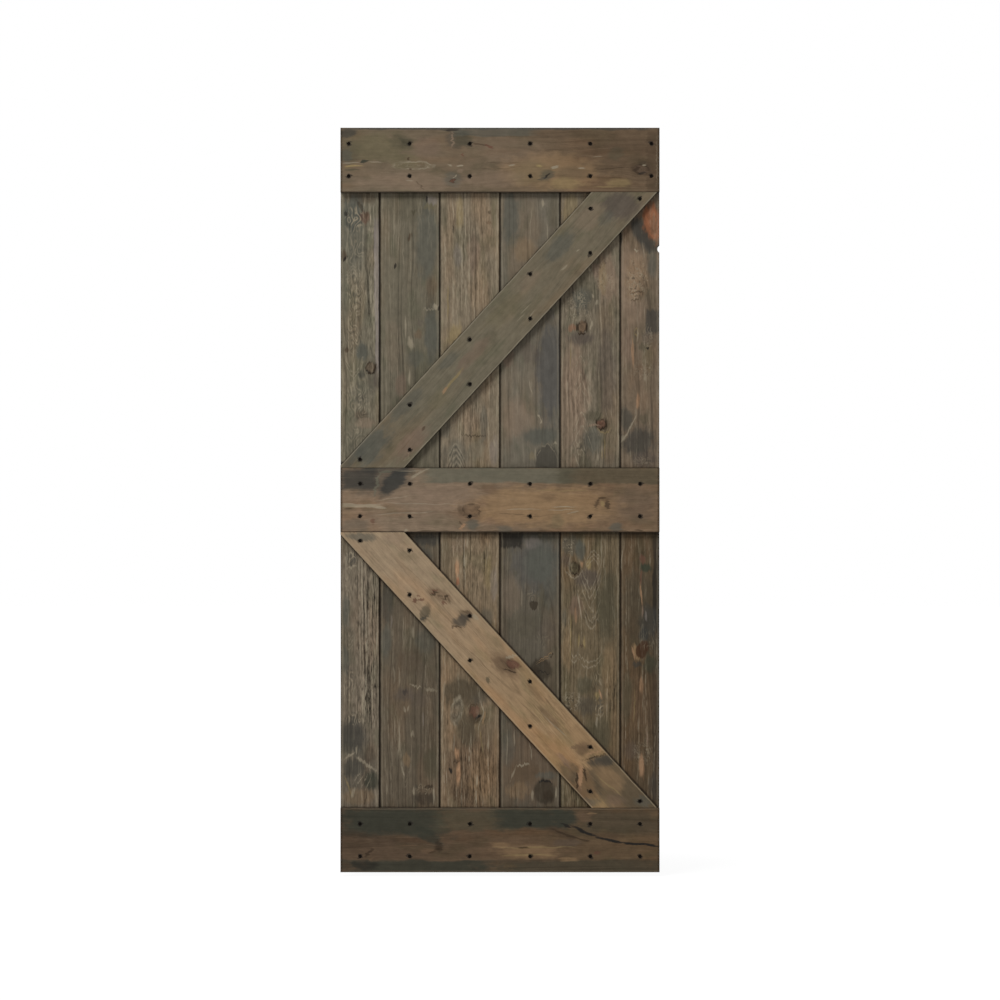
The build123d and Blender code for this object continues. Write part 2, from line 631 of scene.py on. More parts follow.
class WoodFinish:
    """Stained, brushed softwood, worked out in depth so that faces, edges and ends agree."""

    WARM = (1.1, 1.0, 0.93, 1)
    COOL = (0.84, 0.88, 0.85, 1)
    # dark colour for dirt on the ends, and for pooled stain, grime and painted shade in the seams and along
    # the crossing boards
    DIRT_AND_SHADE = paint(34, 27, 20)
    SCREW_HALO = 15.0
    FRAY = 1.2
    SWERVE = 13 * MM
    FEATHER = 26 * MM
    RELIEF = 0.7 * MM
    BUMP = 0.3
    ROUGHEST = 0.76
    SMOOTHEST = 0.62
    GLOSS = 0.08

    def __init__(self, board: Board) -> None:
        """Start the material of one board.

        Args:
            board: The board that is dressed.
        """
        self.board = board
        self.grain = board.grain
        self.material, self.graph = new_material(board.node + "_wood")
        self.stencils = Stencils.all()
        self._place()
        self._figure()

    def _place(self) -> None:
        """Set up the coordinates across, along and through the board, in metres, and the ragged noise."""
        g, board, seed = self.graph, self.board, self.grain.seed
        point = g.add("TexCoord", output="Object")
        local = g.vector("SUBTRACT", point, tuple(board.middle))
        self.across = g.vector("DOT_PRODUCT", local, tuple(board.across), output="Value")
        self.along = g.vector("DOT_PRODUCT", local, tuple(board.along), output="Value")
        self.through = g.vector("DOT_PRODUCT", local, (0, 1, 0), output="Value")
        self.flat = g.vector("MULTIPLY", point, (1, 0, 1))
        self.rag = g.noise(self.across * 70, self.along * 26, self.through * 20 + seed, 3.0, 0.6) - 0.5
        swerve = g.noise(self.across * 26, self.along * 15, seed * 5.1, 2.0, 0.6) - 0.5
        feather = g.noise(self.across * 150, self.along * 11, seed * 6.7, 2.0, 0.6) - 0.5
        self.face = self.flat
        for way, push in ((board.across, swerve * self.SWERVE), (board.along, feather * self.FEATHER)):
            shift = g.add("VectorMath", {"operation": "SCALE"}, {0: tuple(way), "Scale": push})
            self.face = g.vector("ADD", self.face, shift)
        normal = g.add("TexCoord", output="Normal")
        self.facing_end = abs(g.vector("DOT_PRODUCT", normal, tuple(board.along), output="Value"))
        self.rags: dict[tuple[float, bool], Value] = {}

    def _where(self, mark: Mark) -> dict[str, tuple | float]:
        """Directions of a mark's width and height, divided by its half size, and its middle along them.

        Args:
            mark: The mark; an arch is measured in mm along its height.

        Returns:
            Values for the sockets that place a stencil.
        """
        turn = math.radians(mark.turn)
        half_height = MM if isinstance(mark, Arch) else mark.tall * MM / 2
        side = Vector((math.cos(turn), 0, math.sin(turn))) / (mark.wide * MM / 2)
        rise = Vector((-math.sin(turn), 0, math.cos(turn))) / half_height
        spot = door_spot(mark)
        return {"Side": tuple(side), "Rise": tuple(rise), "Middle": spot.dot(side), "Level": spot.dot(rise)}

    def _reach(self, mark: Mark) -> Value:
        """Distance from a mark's middle, as a share of its half size.

        Args:
            mark: The mark.

        Returns:
            The distance at each point of the board.
        """
        g, where = self.graph, self._where(mark)
        aside = g.vector("DOT_PRODUCT", self.face, where["Side"], output="Value") - where["Middle"]
        above = g.vector("DOT_PRODUCT", self.face, where["Rise"], output="Value") - where["Level"]
        return g.math("SQRT", aside * aside + above * above)

    def _ragged(self, amount: float, frayed: bool) -> Value:
        """How much an outline is pushed in or out.

        Args:
            amount: Strength of the soft noise.
            frayed: Whether the fibres break the outline too.

        Returns:
            The push, made once for each pair of settings.
        """
        key = (amount, frayed)
        if key not in self.rags:
            soft = self.rag * amount
            self.rags[key] = soft + (self.fibre - 0.5) * self.FRAY if frayed else soft
        return self.rags[key]

    def _figure(self) -> None:
        """Let the grain wander round the knots, cut the growth rings, and draw lines and fibres."""
        g, grain = self.graph, self.grain
        wander = g.noise(self.across * 6, self.along * 2.4, grain.seed * 3.7, 2.0)
        bent = self.across + (wander - 0.5) * (grain.wander * MM)
        self.knots = [(knot, self._reach(knot)) for knot in self.board.chosen(Knot)]
        for knot, reach in self.knots:
            pull = g.ramp(reach, 3.4, 0.4, 0.0, knot.push)
            bent = bent - (bent - self.board.side(knot)) * pull
        sway = g.noise(self.along * 1.9, 0.0, grain.seed * 9.3, 1.0)
        depth = self.along * (grain.lean * MM) + self.through + (sway - 0.5) * (grain.sway * 2 * MM)
        depth = depth + grain.depth * MM
        aside = bent - grain.heart * MM
        ring = (aside * aside + depth * depth) ** 0.5
        self.line = g.noise(ring * grain.rings, self.along * 1.2, grain.seed, 2.0, 0.6)
        self.streak = g.noise(bent * 130, self.along * 4.5, self.through * 130 + grain.seed, 3.0, 0.7)
        self.fibre = g.noise(bent * 230, self.along * 38, self.through * 230, 2.0, 0.65)
        self.mottle = g.noise(bent * 52, self.along * 34, grain.seed * 7.1, 3.0, 0.65)
        self.late = g.ramp(self.line, 0.45, 0.35)
        self.ridge = g.ramp(self.streak, 0.54, 0.68) * g.ramp(self.fibre, 0.36, 0.58)

    def _ground(self) -> None:
        """Lay the ground colour: its change along the board, which on the planks is partly stain and partly
        a painted fall of light towards the bottom, and its drifts to cool and warm.
        """
        g, board, seed = self.graph, self.board, self.grain.seed
        wood = board.wood
        sense = -1 if board.lay is Lay.UPRIGHT else 1
        turn_over = g.ramp(self.along, -sense * wood.blend, sense * wood.blend)
        ground = g.mix(turn_over, paint(*wood.head), paint(*wood.foot))
        drift = g.noise(self.across * 13, self.along * 3.1, seed * 2.3, 2.0, 0.6)
        cloud = g.noise(self.across * 20, self.along * 9, seed * 4.9, 2.0, 0.6)
        ground = g.mix(g.ramp(drift, 0.46, 0.68), ground, self.WARM, "MULTIPLY")
        self.colour = g.mix(g.ramp(cloud, 0.5, 0.68), ground, self.COOL, "MULTIPLY")
        self.cover = self.fibre * 0

    def _blend_in(self, share: Value, tint: Tint) -> None:
        """Cover the colour so far by a share of a tint."""
        self.colour = self.graph.mix(share, self.colour, tint.value)

    def _lay(self, mark: Stain, frayed: bool = False) -> None:
        """Lay one stain or stroke over the colour so far.

        Args:
            mark: The stain or stroke.
            frayed: Whether the fibres break its outline.
        """
        stencil = self.stencils.square if isinstance(mark, Patch) else self.stencils.round
        self.colour = self.graph.add("Group", {"node_tree": stencil.tree}, {
            "Face": self.face, "Colour": self.colour, "Cover": self.cover,
            "Rag": self._ragged(mark.rag, frayed), "Near": Stencils.RIM - mark.soft,
            "Strength": mark.strength, "Tint": mark.tint.value, **self._where(mark),
        }, "Colour")
        if not frayed:
            self.cover = self.colour.beside("Cover")

    def _scribble(self) -> None:
        """Draw the pale loops of the wild grain, with dark between, as level lines of a soft field."""
        g = self.graph
        curls = self.board.chosen(Curl)
        if not curls:
            return
        hills = g.noise(self.across * 40, self.along * 23, self.grain.seed * 6.3, 1.4)
        wave = abs(g.math("FRACT", hills * 7 + self.across * 60) - 0.5)
        broken = g.ramp(self.fibre, 0.25, 0.5)
        loop = g.ramp(wave, 0.2, 0.04) * broken
        between = g.ramp(wave, 0.3, 0.46) * 0.6
        crackle = g.noise(self.across * 130, self.along * 95, self.grain.seed * 8.7, 1.0)
        scratch = g.ramp(abs(crackle - 0.5), 0.07, 0.02) * g.ramp(self.mottle, 0.4, 0.56)
        pocket = g.ramp(crackle, 0.42, 0.28) * 0.8
        for curl in curls:
            pale, dark = (scratch, pocket) if isinstance(curl, Scuff) else (loop, between)
            zone = g.ramp(self._reach(curl) + self.rag, 1.1, 0.5, 0.0, curl.strength)
            self._blend_in(dark * zone, Tint.INK)
            self._blend_in(pale * zone, Tint.SAND)

    def _set_knots(self) -> None:
        """Colour each knot: a dark halo, its heart with rings, a broken dark rim and a pit."""
        g = self.graph
        patchy = g.ramp(self.rag, -0.12, 0.1, 0.15, 1.0)
        for knot, reach in self.knots:
            ragged = reach + self.rag * 0.8 + (self.mottle - 0.5) * 0.8
            self._blend_in(g.ramp(ragged, 2.0, 0.95, 0.0, knot.halo), knot.rim)
            inside = g.ramp(ragged, 1.15, 0.75)
            self._blend_in(inside * knot.fill, knot.core)
            rings = g.ramp(abs(g.math("FRACT", ragged * 3) - 0.5), 0.25, 0.5, 0.0, 0.45) * inside
            rim = g.ramp(abs(ragged - 0.92), 0.26, 0.07, 0.0, knot.ring) * patchy
            pit = g.ramp(ragged, 0.42, 0.1, 0.0, knot.pit)
            self._blend_in(g.math("MAXIMUM", g.math("MAXIMUM", rim, rings * knot.ring), pit), knot.rim)

    def _nest(self, arch: Arch) -> None:
        """Draw one set of nested growth lines.

        Args:
            arch: The lines' peak, fall, number and colour.
        """
        self.colour = self.graph.add("Group", {"node_tree": self.stencils.arch.tree}, {
            "Face": self.face, "Colour": self.colour, "Rag": self.rag, "Fray": self.fibre - 0.5,
            "Fall": arch.tall, "Power": arch.power, "Pitch": arch.pitch,
            "Sense": -math.copysign(1, arch.tall) / arch.pitch, "Last": arch.lines - 0.5,
            "Outer": arch.width / 2 + 1.8, "Inner": arch.width / 2 - 1.4, "Strength": arch.strength,
            "Tint": arch.tint.value, **self._where(arch),
        }, "Colour")

    def _darken_round_screws(self) -> None:
        """Darken the wood round the board's own screws."""
        own = self.board.node
        rows = [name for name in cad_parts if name.startswith(own) and name.endswith("_screws")]
        for middle, _ in [spot for row in rows for spot in screw_spots(row)]:
            x, down = (middle.x - CAD_BOX[0][0]) / MM, (CAD_BOX[1][2] - middle.z) / MM
            wide = self.SCREW_HALO
            self._lay(Stroke(x, down, wide, wide, Tint.SOOT, 0.7, rag=0.4, soft=0.35))

    def _rule_grain(self) -> None:
        """Darken and lighten everything along the grain, and bring up the pale brushed ridges."""
        g, grain = self.graph, self.grain
        gain = 1 - self.cover * 0.7
        for comb in self.board.chosen(Comb):
            gain = gain + g.ramp(self._reach(comb) + self.rag, 1.15, 0.45, 0.0, comb.strength)
        fine = (self.line - 0.5) * grain.line + (self.streak - 0.5) * grain.streak
        fine = fine + (self.fibre - 0.5) * grain.fibre
        self.relief = fine + self.ridge * 0.4
        level = fine * gain + (self.mottle - 0.5) * grain.mottle + 1.06
        level = level * (1 - self.late * gain * grain.late)
        shade = g.add("CombineColor", None, {0: level, 1: level, 2: level})
        self.colour = g.mix(1.0, self.colour, shade, "MULTIPLY")
        self.colour = g.mix(self.ridge * gain * grain.brushed, self.colour, paint(*self.board.wood.pale))

    def _wear_light_and_shade_edges(self) -> None:
        """Rub the long edges pale in broken stretches, partly wear and partly a painted highlight on the
        eased edges; paint shade on the arrises; darken the seams with pooled stain and painted shade, and
        darken the ends.
        """
        g, board, edges = self.graph, self.board, self.board.edges
        inset = (board.half - abs(self.across)) / MM
        # pale stretch in from each long edge: wear and a painted highlight where the eased edge catches the
        # light
        rubbed = g.ramp(abs(inset - edges.inset + self.rag * 5), edges.width, 0.4, 0.0, edges.wear_and_highlight)
        self.colour = g.mix(rubbed, self.colour, paint(*board.wood.pale))
        # painted shade along the arrises, where the rounded edges turn from the light
        self.colour = g.mix(g.ramp(inset, 2.0, -0.2, 0.0, edges.arris), self.colour, Tint.SOOT.value)
        # pooled stain and painted shade darken the seams at the left and right edges
        for seam, depth in zip(edges.seams, (self.across + board.half, board.half - self.across)):
            if seam:
                share = g.ramp(depth / MM + self.rag * 7, 2.2, -0.6, 0.0, seam)
                self.colour = g.mix(share, self.colour, self.DIRT_AND_SHADE)
        if edges.ends:
            tip = (board.reach - abs(self.along)) / MM
            share = g.ramp(tip + self.rag * 3, 6.5, 2.0, 0.0, edges.ends)
            self.colour = g.mix(share, self.colour, self.DIRT_AND_SHADE)
        end = g.ramp(self.facing_end, 0.5, 0.85, 0.0, 0.6)
        self.colour = g.mix(end, self.colour, Tint.UMBER.value)

    def _shade_joints(self) -> None:
        """Darken the plank's face along the rails and braces that cross it: grime and painted contact shade
        above each, a painted shadow below each.
        """
        g = self.graph
        front = g.ramp(self.through, 0.0, -0.004)
        for other in self.board.crossed_by:
            upward = other.across if other.across.z > 0 else -other.across
            rise = g.vector("DOT_PRODUCT", self.flat, tuple(upward), output="Value")
            rise = rise - other.middle.dot(upward)
            # grime and painted contact shade above each crossing board, and a painted shadow of it below
            for sense, (width, strength) in ((1, other.edges.grime_and_shade_above), (-1, other.edges.painted_shadow_below)):
                gap = abs(rise - sense * other.half) / MM
                share = g.ramp(gap + self.rag * 5, width + 1, width * 0.4, 0.0, strength) * front
                self.colour = g.mix(share, self.colour, self.DIRT_AND_SHADE)

    def dress(self) -> bpy.types.Material:
        """Work out the whole finish.

        Returns:
            The material.
        """
        g = self.graph
        self._ground()
        for mark in self.board.chosen(Stain, (Stroke,)):
            self._lay(mark)
        self._scribble()
        self._set_knots()
        for mark in self.board.chosen(Arch):
            self._nest(mark)
        for mark in self.board.chosen(Stroke):
            self._lay(mark, frayed=True)
        self._darken_round_screws()
        self._rule_grain()
        self._wear_light_and_shade_edges()
        self._shade_joints()
        bump = g.add("Bump", None, {"Strength": self.BUMP, "Distance": self.RELIEF, "Height": self.relief})
        roughness = g.ramp(self.line, 0.3, 0.7, self.ROUGHEST, self.SMOOTHEST)
        surface = g.add("BsdfPrincipled", None, {
            "Base Color": self.colour, "Roughness": roughness, "Normal": bump,
            "Specular IOR Level": self.GLOSS,
        })
        g.add("OutputMaterial", None, {"Surface": surface})
        return self.material


class Boards:
    """A set of boards of one kind, dressed together."""

    def boards(self) -> list[Board]:
        """The boards, in order."""
        raise NotImplementedError

    def dress(self) -> None:
        """Give every board its material."""
        for board in self.boards():
            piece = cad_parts[board.node]
            piece.data.materials.clear()
            piece.data.materials.append(WoodFinish(board).dress())
            LOG.info("dressed %s with %d marks", board.node, len(board.marks))


class Planking(Boards):
    """The six upright planks."""

    def __init__(self, crossed_by: list[Board]) -> None:
        """Note the boards that lie across the planks."""
        self.crossed_by = crossed_by

    def boards(self) -> list[Board]:
        """The planks, from the left.

        Returns:
            The planks, in order.
        """
        planks = [self._left(), self._second(), self._third(), self._fourth(), self._fifth(), self._right()]
        for plank in planks:
            plank.crossed_by = self.crossed_by
        return planks

    def _left(self) -> Board:
        """The narrow left plank: curly, with a red knot and a ring knot above and a slate end below.

        Returns:
            The board with its marks.
        """
        marks = [
            Stain(36, 300, 80, 270, Tint.SLATE, 0.45), Stain(92, 700, 36, 150, Tint.SHADE, 0.45),
            # Above the middle rail: slate head, red knot, lilac strip, ring knot
            Stain(56, 200, 120, 44, Tint.UMBER, 0.5), Stain(34, 245, 66, 120, Tint.SLATE, 0.75),
            Stain(12, 440, 18, 230, Tint.SAGE, 0.5),
            *Patch.each(Tint.LILAC, (104, 420, 15, 320, 0.85), (106, 620, 10, 180, 0.9)),
            *Stain.each(Tint.UMBER, (8, 366, 22, 40, 0.75), (56, 822, 48, 32, 0.55)),
            Stain(62, 640, 46, 54, Tint.SLATE, 0.85, 0, 0.7), Stain(60, 705, 26, 28, Tint.INK, 0.6),
            Stain(101, 715, 16, 80, Tint.MAUVE, 0.6), Stain(72, 846, 60, 34, Tint.CLAY, 0.5),
            *Stain.each(Tint.SAGE, (38, 905, 76, 90, 0.45), (66, 745, 44, 50, 0.5)),
            Stain(56, 776, 30, 24, Tint.INK, 0.4), Stain(70, 258, 34, 40, Tint.RUST, 0.6),
            Stain(74, 250, 14, 18, Tint.UMBER, 0.4), Curl(40, 262, 60, 90, 0.84),
            Curl(42, 350, 60, 90, 0.52), Curl(44, 480, 66, 150, 0.78), Curl(34, 600, 58, 110, 0.72),
            Curl(50, 775, 90, 150, 0.52), Curl(40, 890, 70, 90, 0.42), Comb(88, 480, 50, 420, 0.8),
            Knot(85, 684, 30, 29, Tint.COCOA, Tint.PITCH, 0.75, 0.15, 0.7, 20, 0.4, 0.1),
            Arch(38, 716, 56, -48, Tint.BONE, 0.34, 2, 12, 4, 1.3),
            Arch(87, 702, 34, -16, Tint.SOOT, 0.9, 1, 14, 5),
            Arch(38, 396, 44, 22, Tint.BONE, 0.26, 3, 10, 3),
            *Stroke.each(Tint.PITCH, (98, 688, 7, 26, 0.85, -20), (87, 701, 26, 6, 0.85, 10)),
            *Stroke.each(Tint.BONE, (87, 260, 5, 36, 0.65), (30, 752, 6, 42, 0.5, 5),
                (88, 290, 20, 16, 0.4)),
            Stroke(58, 226, 10, 50, Tint.PITCH, 0.5, 32),
            *Stroke.each(Tint.SOOT, (15, 246, 14, 16, 0.7), (12, 376, 7, 30, 0.9, -33)),
            Stroke(18, 637, 18, 16, Tint.UMBER, 0.75),
            # Below it: combed right side, loops at the left edge, slate patch, pale fan
            Stain(14, 1200, 26, 60, Tint.MOSS, 0.4),
            *Stain.each(Tint.INK, (32, 1236, 40, 40, 0.45), (34, 1745, 90, 120, 0.8, 0, 0.7)),
            *Stain.each(Tint.SLATE, (15, 1385, 28, 110, 0.65), (14, 1530, 26, 100, 0.6)),
            *Stain.each(Tint.SHADE, (56, 1850, 130, 200, 0.6), (36, 1836, 70, 60, 0.9)),
            Stain(88, 1870, 52, 60, Tint.BOG, 0.85), Stain(48, 1918, 110, 50, Tint.TAN, 0.3),
            Stain(88, 1790, 44, 60, Tint.UMBER, 0.35), Curl(30, 1234, 44, 46, 0.84),
            Curl(28, 1310, 44, 90, 0.36), Curl(24, 1595, 46, 130, 0.62), Curl(42, 1690, 66, 44, 0.78),
            Comb(80, 1420, 84, 600, 1.4), Comb(76, 1650, 84, 200, 1.3),
            Arch(26, 1496, 38, -64, Tint.BONE, 0.23, 4, 14, 4),
            *Stroke.each(Tint.BONE, (32, 1259, 34, 8, 0.5, 15), (24, 1800, 36, 8, 0.55, 28),
                (74, 1824, 78, 10, 0.55, -34), (44, 1784, 8, 26, 0.5), (46, 1862, 3, 50, 0.35, -32),
                (56, 1868, 3, 56, 0.38, -30), (67, 1872, 3, 54, 0.35, -27), (78, 1880, 3, 56, 0.3, -24)),
            Stroke(22, 1888, 6, 60, Tint.HONEY, 0.5, 22), Stroke(36, 1905, 8, 30, Tint.BONE, 0.5, -15),
            Stroke(70, 1926, 5, 40, Tint.SOOT, 0.4, -18),
        ]
        grain = Grain(1.3, heart=-60, depth=30, streak=1.25, fibre=1.25, brushed=0.55)
        edges = Edges(seams=(0.0, 0.6))
        return Board("left_plank", Lay.UPRIGHT, Wood((111, 104, 88), (113, 102, 87)), grain, edges, marks)

    def _second(self) -> Board:
        """An even olive-grey plank, darker and browner below.

        Returns:
            The board with its marks.
        """
        marks = [
            # Above the middle rail: olive left, slate right, pale finger
            Stain(200, 225, 190, 100, Tint.MOSS, 0.3),
            *Stain.each(Tint.SLATE, (248, 330, 76, 260, 0.65), (262, 590, 50, 200, 0.75)),
            Stain(265, 207, 36, 30, Tint.LILAC, 0.5), Stain(258, 226, 42, 18, Tint.OLIVE, 0.6),
            *Stain.each(Tint.COCOA, (262, 450, 44, 60, 0.35), (222, 592, 26, 30, 0.45)),
            Stain(228, 560, 22, 22, Tint.MAUVE, 0.4), Stain(215, 660, 60, 56, Tint.SLATE, 0.5),
            Stain(172, 735, 38, 76, Tint.ROSE, 0.4), Stain(150, 620, 60, 160, Tint.CLAY, 0.2),
            Comb(150, 650, 60, 200, 0.5),
            *Stroke.each(Tint.BONE, (153, 280, 3, 170, 0.3), (166, 290, 3, 190, 0.35),
                (180, 330, 3, 200, 0.3), (163, 600, 3, 90, 0.4), (272, 512, 18, 20, 0.65),
                (254, 520, 36, 6, 0.4), (186, 572, 6, 76, 0.5), (200, 617, 22, 44, 0.5, 0, 0.9),
                (198, 715, 10, 44, 0.45)),
            *Stroke.each(Tint.SOOT, (156, 392, 10, 18, 0.85), (248, 206, 7, 24, 0.8),
                (280, 518, 7, 16, 0.8)),
            Stroke(198, 312, 11, 24, Tint.UMBER, 0.75, -15), Stroke(211, 240, 18, 16, Tint.MOSS, 0.7),
            # Below it: blue-black painted shadow under the middle rail beside the brace, violet spot, long
            # tongue, jagged knot at the foot
            *Stain.each(Tint.INK, (245, 1180, 96, 44, 0.75), (132, 1365, 44, 140, 0.5)),
            *Stain.each(Tint.SLATE, (232, 1230, 70, 70, 0.55), (130, 1470, 38, 130, 0.6),
                (245, 1470, 60, 90, 0.4)),
            Stain(200, 1530, 80, 90, Tint.UMBER, 0.3),
            Stain(184, 1618, 16, 18, Tint.SOOT, 0.8, 0, 0.6, 0.5),
            *Stain.each(Tint.MAUVE, (182, 1624, 66, 46, 0.55), (225, 1640, 60, 60, 0.3)),
            Stain(188, 1815, 24, 44, Tint.TAN, 0.35), Stain(256, 1830, 56, 100, Tint.MOSS, 0.6),
            Stain(240, 1925, 84, 40, Tint.SOOT, 0.5), Stain(252, 1890, 26, 16, Tint.PITCH, 0.75),
            Scuff(238, 1898, 64, 36, 0.58), Comb(140, 1850, 60, 220, 0.5),
            Arch(187, 1892, 40, -100, Tint.BONE, 0.18, 2, 14, 4, 1.4),
            *Stroke.each(Tint.BONE, (209, 1446, 8, 36, 0.45), (178, 1450, 4, 120, 0.35),
                (152, 1570, 4, 60, 0.35), (166, 1575, 4, 60, 0.4), (215, 1601, 36, 6, 0.5, -14),
                (258, 1612, 36, 12, 0.4, -8), (183, 1666, 6, 22, 0.5, 10), (194, 1666, 5, 20, 0.45, -10),
                (167, 1745, 5, 96, 0.45), (155, 1725, 4, 76, 0.3), (206, 1740, 10, 18, 0.4),
                (267, 1915, 7, 54, 0.5), (212, 1902, 6, 24, 0.5), (179, 1846, 5, 34, 0.55, 12)),
            *Stroke.each(Tint.LILAC, (145, 1415, 6, 40, 0.4), (235, 1700, 5, 50, 0.35)),
        ]
        grain = Grain(2.7, heart=60, streak=0.65, fibre=0.55, brushed=0.28)
        edges = Edges(seams=(0.6, 0.3))
        return Board("plank_2", Lay.UPRIGHT, Wood((102, 95, 80), (92, 82, 68)), grain, edges, marks)

    def _third(self) -> Board:
        """The warm, combed plank left of the middle, with arches above the middle rail.

        Returns:
            The board with its marks.
        """
        marks = [
            Stain(355, 1620, 140, 100, Tint.DUN, 0.85), Stain(400, 1632, 60, 50, Tint.SHADE, 0.5),
            Stain(370, 1850, 190, 240, Tint.COCOA, 0.65), Stain(390, 1810, 170, 320, Tint.UMBER, 0.3),
            Stain(388, 1696, 44, 36, Tint.PITCH, 0.6),
            # Above the middle rail: pale wedge, rose field, gold corner, arches
            *Stain.each(Tint.HONEY, (342, 245, 26, 110, 0.45), (325, 592, 40, 80, 0.55, -15)),
            Stain(440, 245, 20, 100, Tint.OLIVE, 0.6), Stain(380, 360, 50, 120, Tint.ROSE, 0.4),
            Stain(338, 370, 32, 70, Tint.LILAC, 0.4), Stain(298, 250, 22, 130, Tint.MOSS, 0.4),
            Stain(425, 272, 18, 12, Tint.COCOA, 0.6),
            *Stain.each(Tint.SLATE, (412, 850, 26, 120, 0.5), (300, 860, 34, 70, 0.45)),
            Stain(390, 925, 64, 66, Tint.SAGE, 0.5), Stain(440, 925, 26, 100, Tint.LILAC, 0.45),
            Stain(297, 945, 26, 80, Tint.INK, 0.45), Stain(335, 935, 66, 90, Tint.SLATE, 0.45),
            Stain(380, 840, 60, 70, Tint.CLAY, 0.25), Comb(370, 380, 150, 300, 0.4),
            Comb(380, 835, 90, 110, 0.7), Arch(331, 903, 62, 66, Tint.BONE, 0.34, 4, 18, 4, 1.3),
            Arch(331, 912, 62, 66, Tint.INK, 0.5, 4, 18, 5, 1.3), Stroke(426, 242, 11, 15, Tint.UMBER, 0.8),
            Stroke(321, 285, 5, 24, Tint.SOOT, 0.65), Stroke(325, 270, 4, 50, Tint.UMBER, 0.5),
            *Stroke.each(Tint.BONE, (322, 230, 4, 60, 0.5), (358, 330, 5, 150, 0.35),
                (325, 460, 6, 70, 0.5), (360, 480, 5, 110, 0.4), (449, 275, 5, 60, 0.5),
                (449, 345, 4, 50, 0.4), (448, 800, 4, 70, 0.5)),
            Stroke(308, 500, 7, 120, Tint.HONEY, 0.45), Stroke(380, 882, 80, 6, Tint.PITCH, 0.55, -3),
            *Stroke.each(Tint.BONE, (338, 850, 5, 60, 0.4), (442, 905, 8, 30, 0.5, 15)),
            # Below it: peach slit, dark cloud round a red knot, gold combed foot
            Stain(425, 1280, 34, 110, Tint.HONEY, 0.4), Stain(300, 1220, 34, 110, Tint.MOSS, 0.4),
            Stain(440, 1310, 24, 110, Tint.LILAC, 0.4), Stain(415, 1405, 60, 60, Tint.SLATE, 0.45),
            Stain(340, 1195, 50, 60, Tint.ROSE, 0.3),
            *Stain.each(Tint.DUN, (352, 1612, 110, 60, 0.85, 0, 0.9, 0.6),
                (365, 1735, 58, 90, 0.9, 0, 0.8, 0.6), (350, 1695, 80, 50, 0.6)),
            Stain(405, 1860, 90, 160, Tint.TAN, 0.3), Stain(345, 1920, 50, 50, Tint.UMBER, 0.45),
            Scuff(328, 1195, 46, 70, 0.36), Comb(385, 1250, 130, 240, 0.8), Comb(385, 1860, 160, 230, 1.8),
            Comb(300, 1780, 40, 300, 0.6),
            Knot(333, 1672, 34, 80, Tint.SLATE, Tint.BONE, 0.55, 0.0, 0.3, -8, 0.25, 0.0),
            Knot(384, 1675, 30, 30, Tint.RUST, Tint.UMBER, 0.7, 0.2, 0.8, 0, 0.7, 0.0),
            Stroke(396, 1690, 22, 10, Tint.SOOT, 0.95, 40),
            *Stroke.each(Tint.UMBER, (372, 1664, 6, 26, 0.8), (384, 1656, 24, 6, 0.7)),
            *Stroke.each(Tint.PEACH, (334, 1262, 15, 64, 0.85), (333, 1796, 13, 38, 0.75),
                (337, 1853, 16, 74, 0.8)),
            Stroke(337, 1300, 10, 28, Tint.EMBER, 0.6), Stroke(410, 1690, 6, 44, Tint.TAN, 0.65, -10),
            Stroke(331, 1821, 24, 7, Tint.UMBER, 0.65), Stroke(316, 1842, 10, 17, Tint.SOOT, 0.9),
            Stroke(325, 1760, 5, 60, Tint.BONE, 0.4), Stroke(405, 1765, 5, 80, Tint.HONEY, 0.45, 8),
        ]
        grain = Grain(3.9, heart=-100, streak=1.1, fibre=1.2, brushed=0.56)
        edges = Edges(seams=(0.3, 0.5))
        return Board("plank_3", Lay.UPRIGHT, Wood((121, 109, 91), (121, 105, 84)), grain, edges, marks)

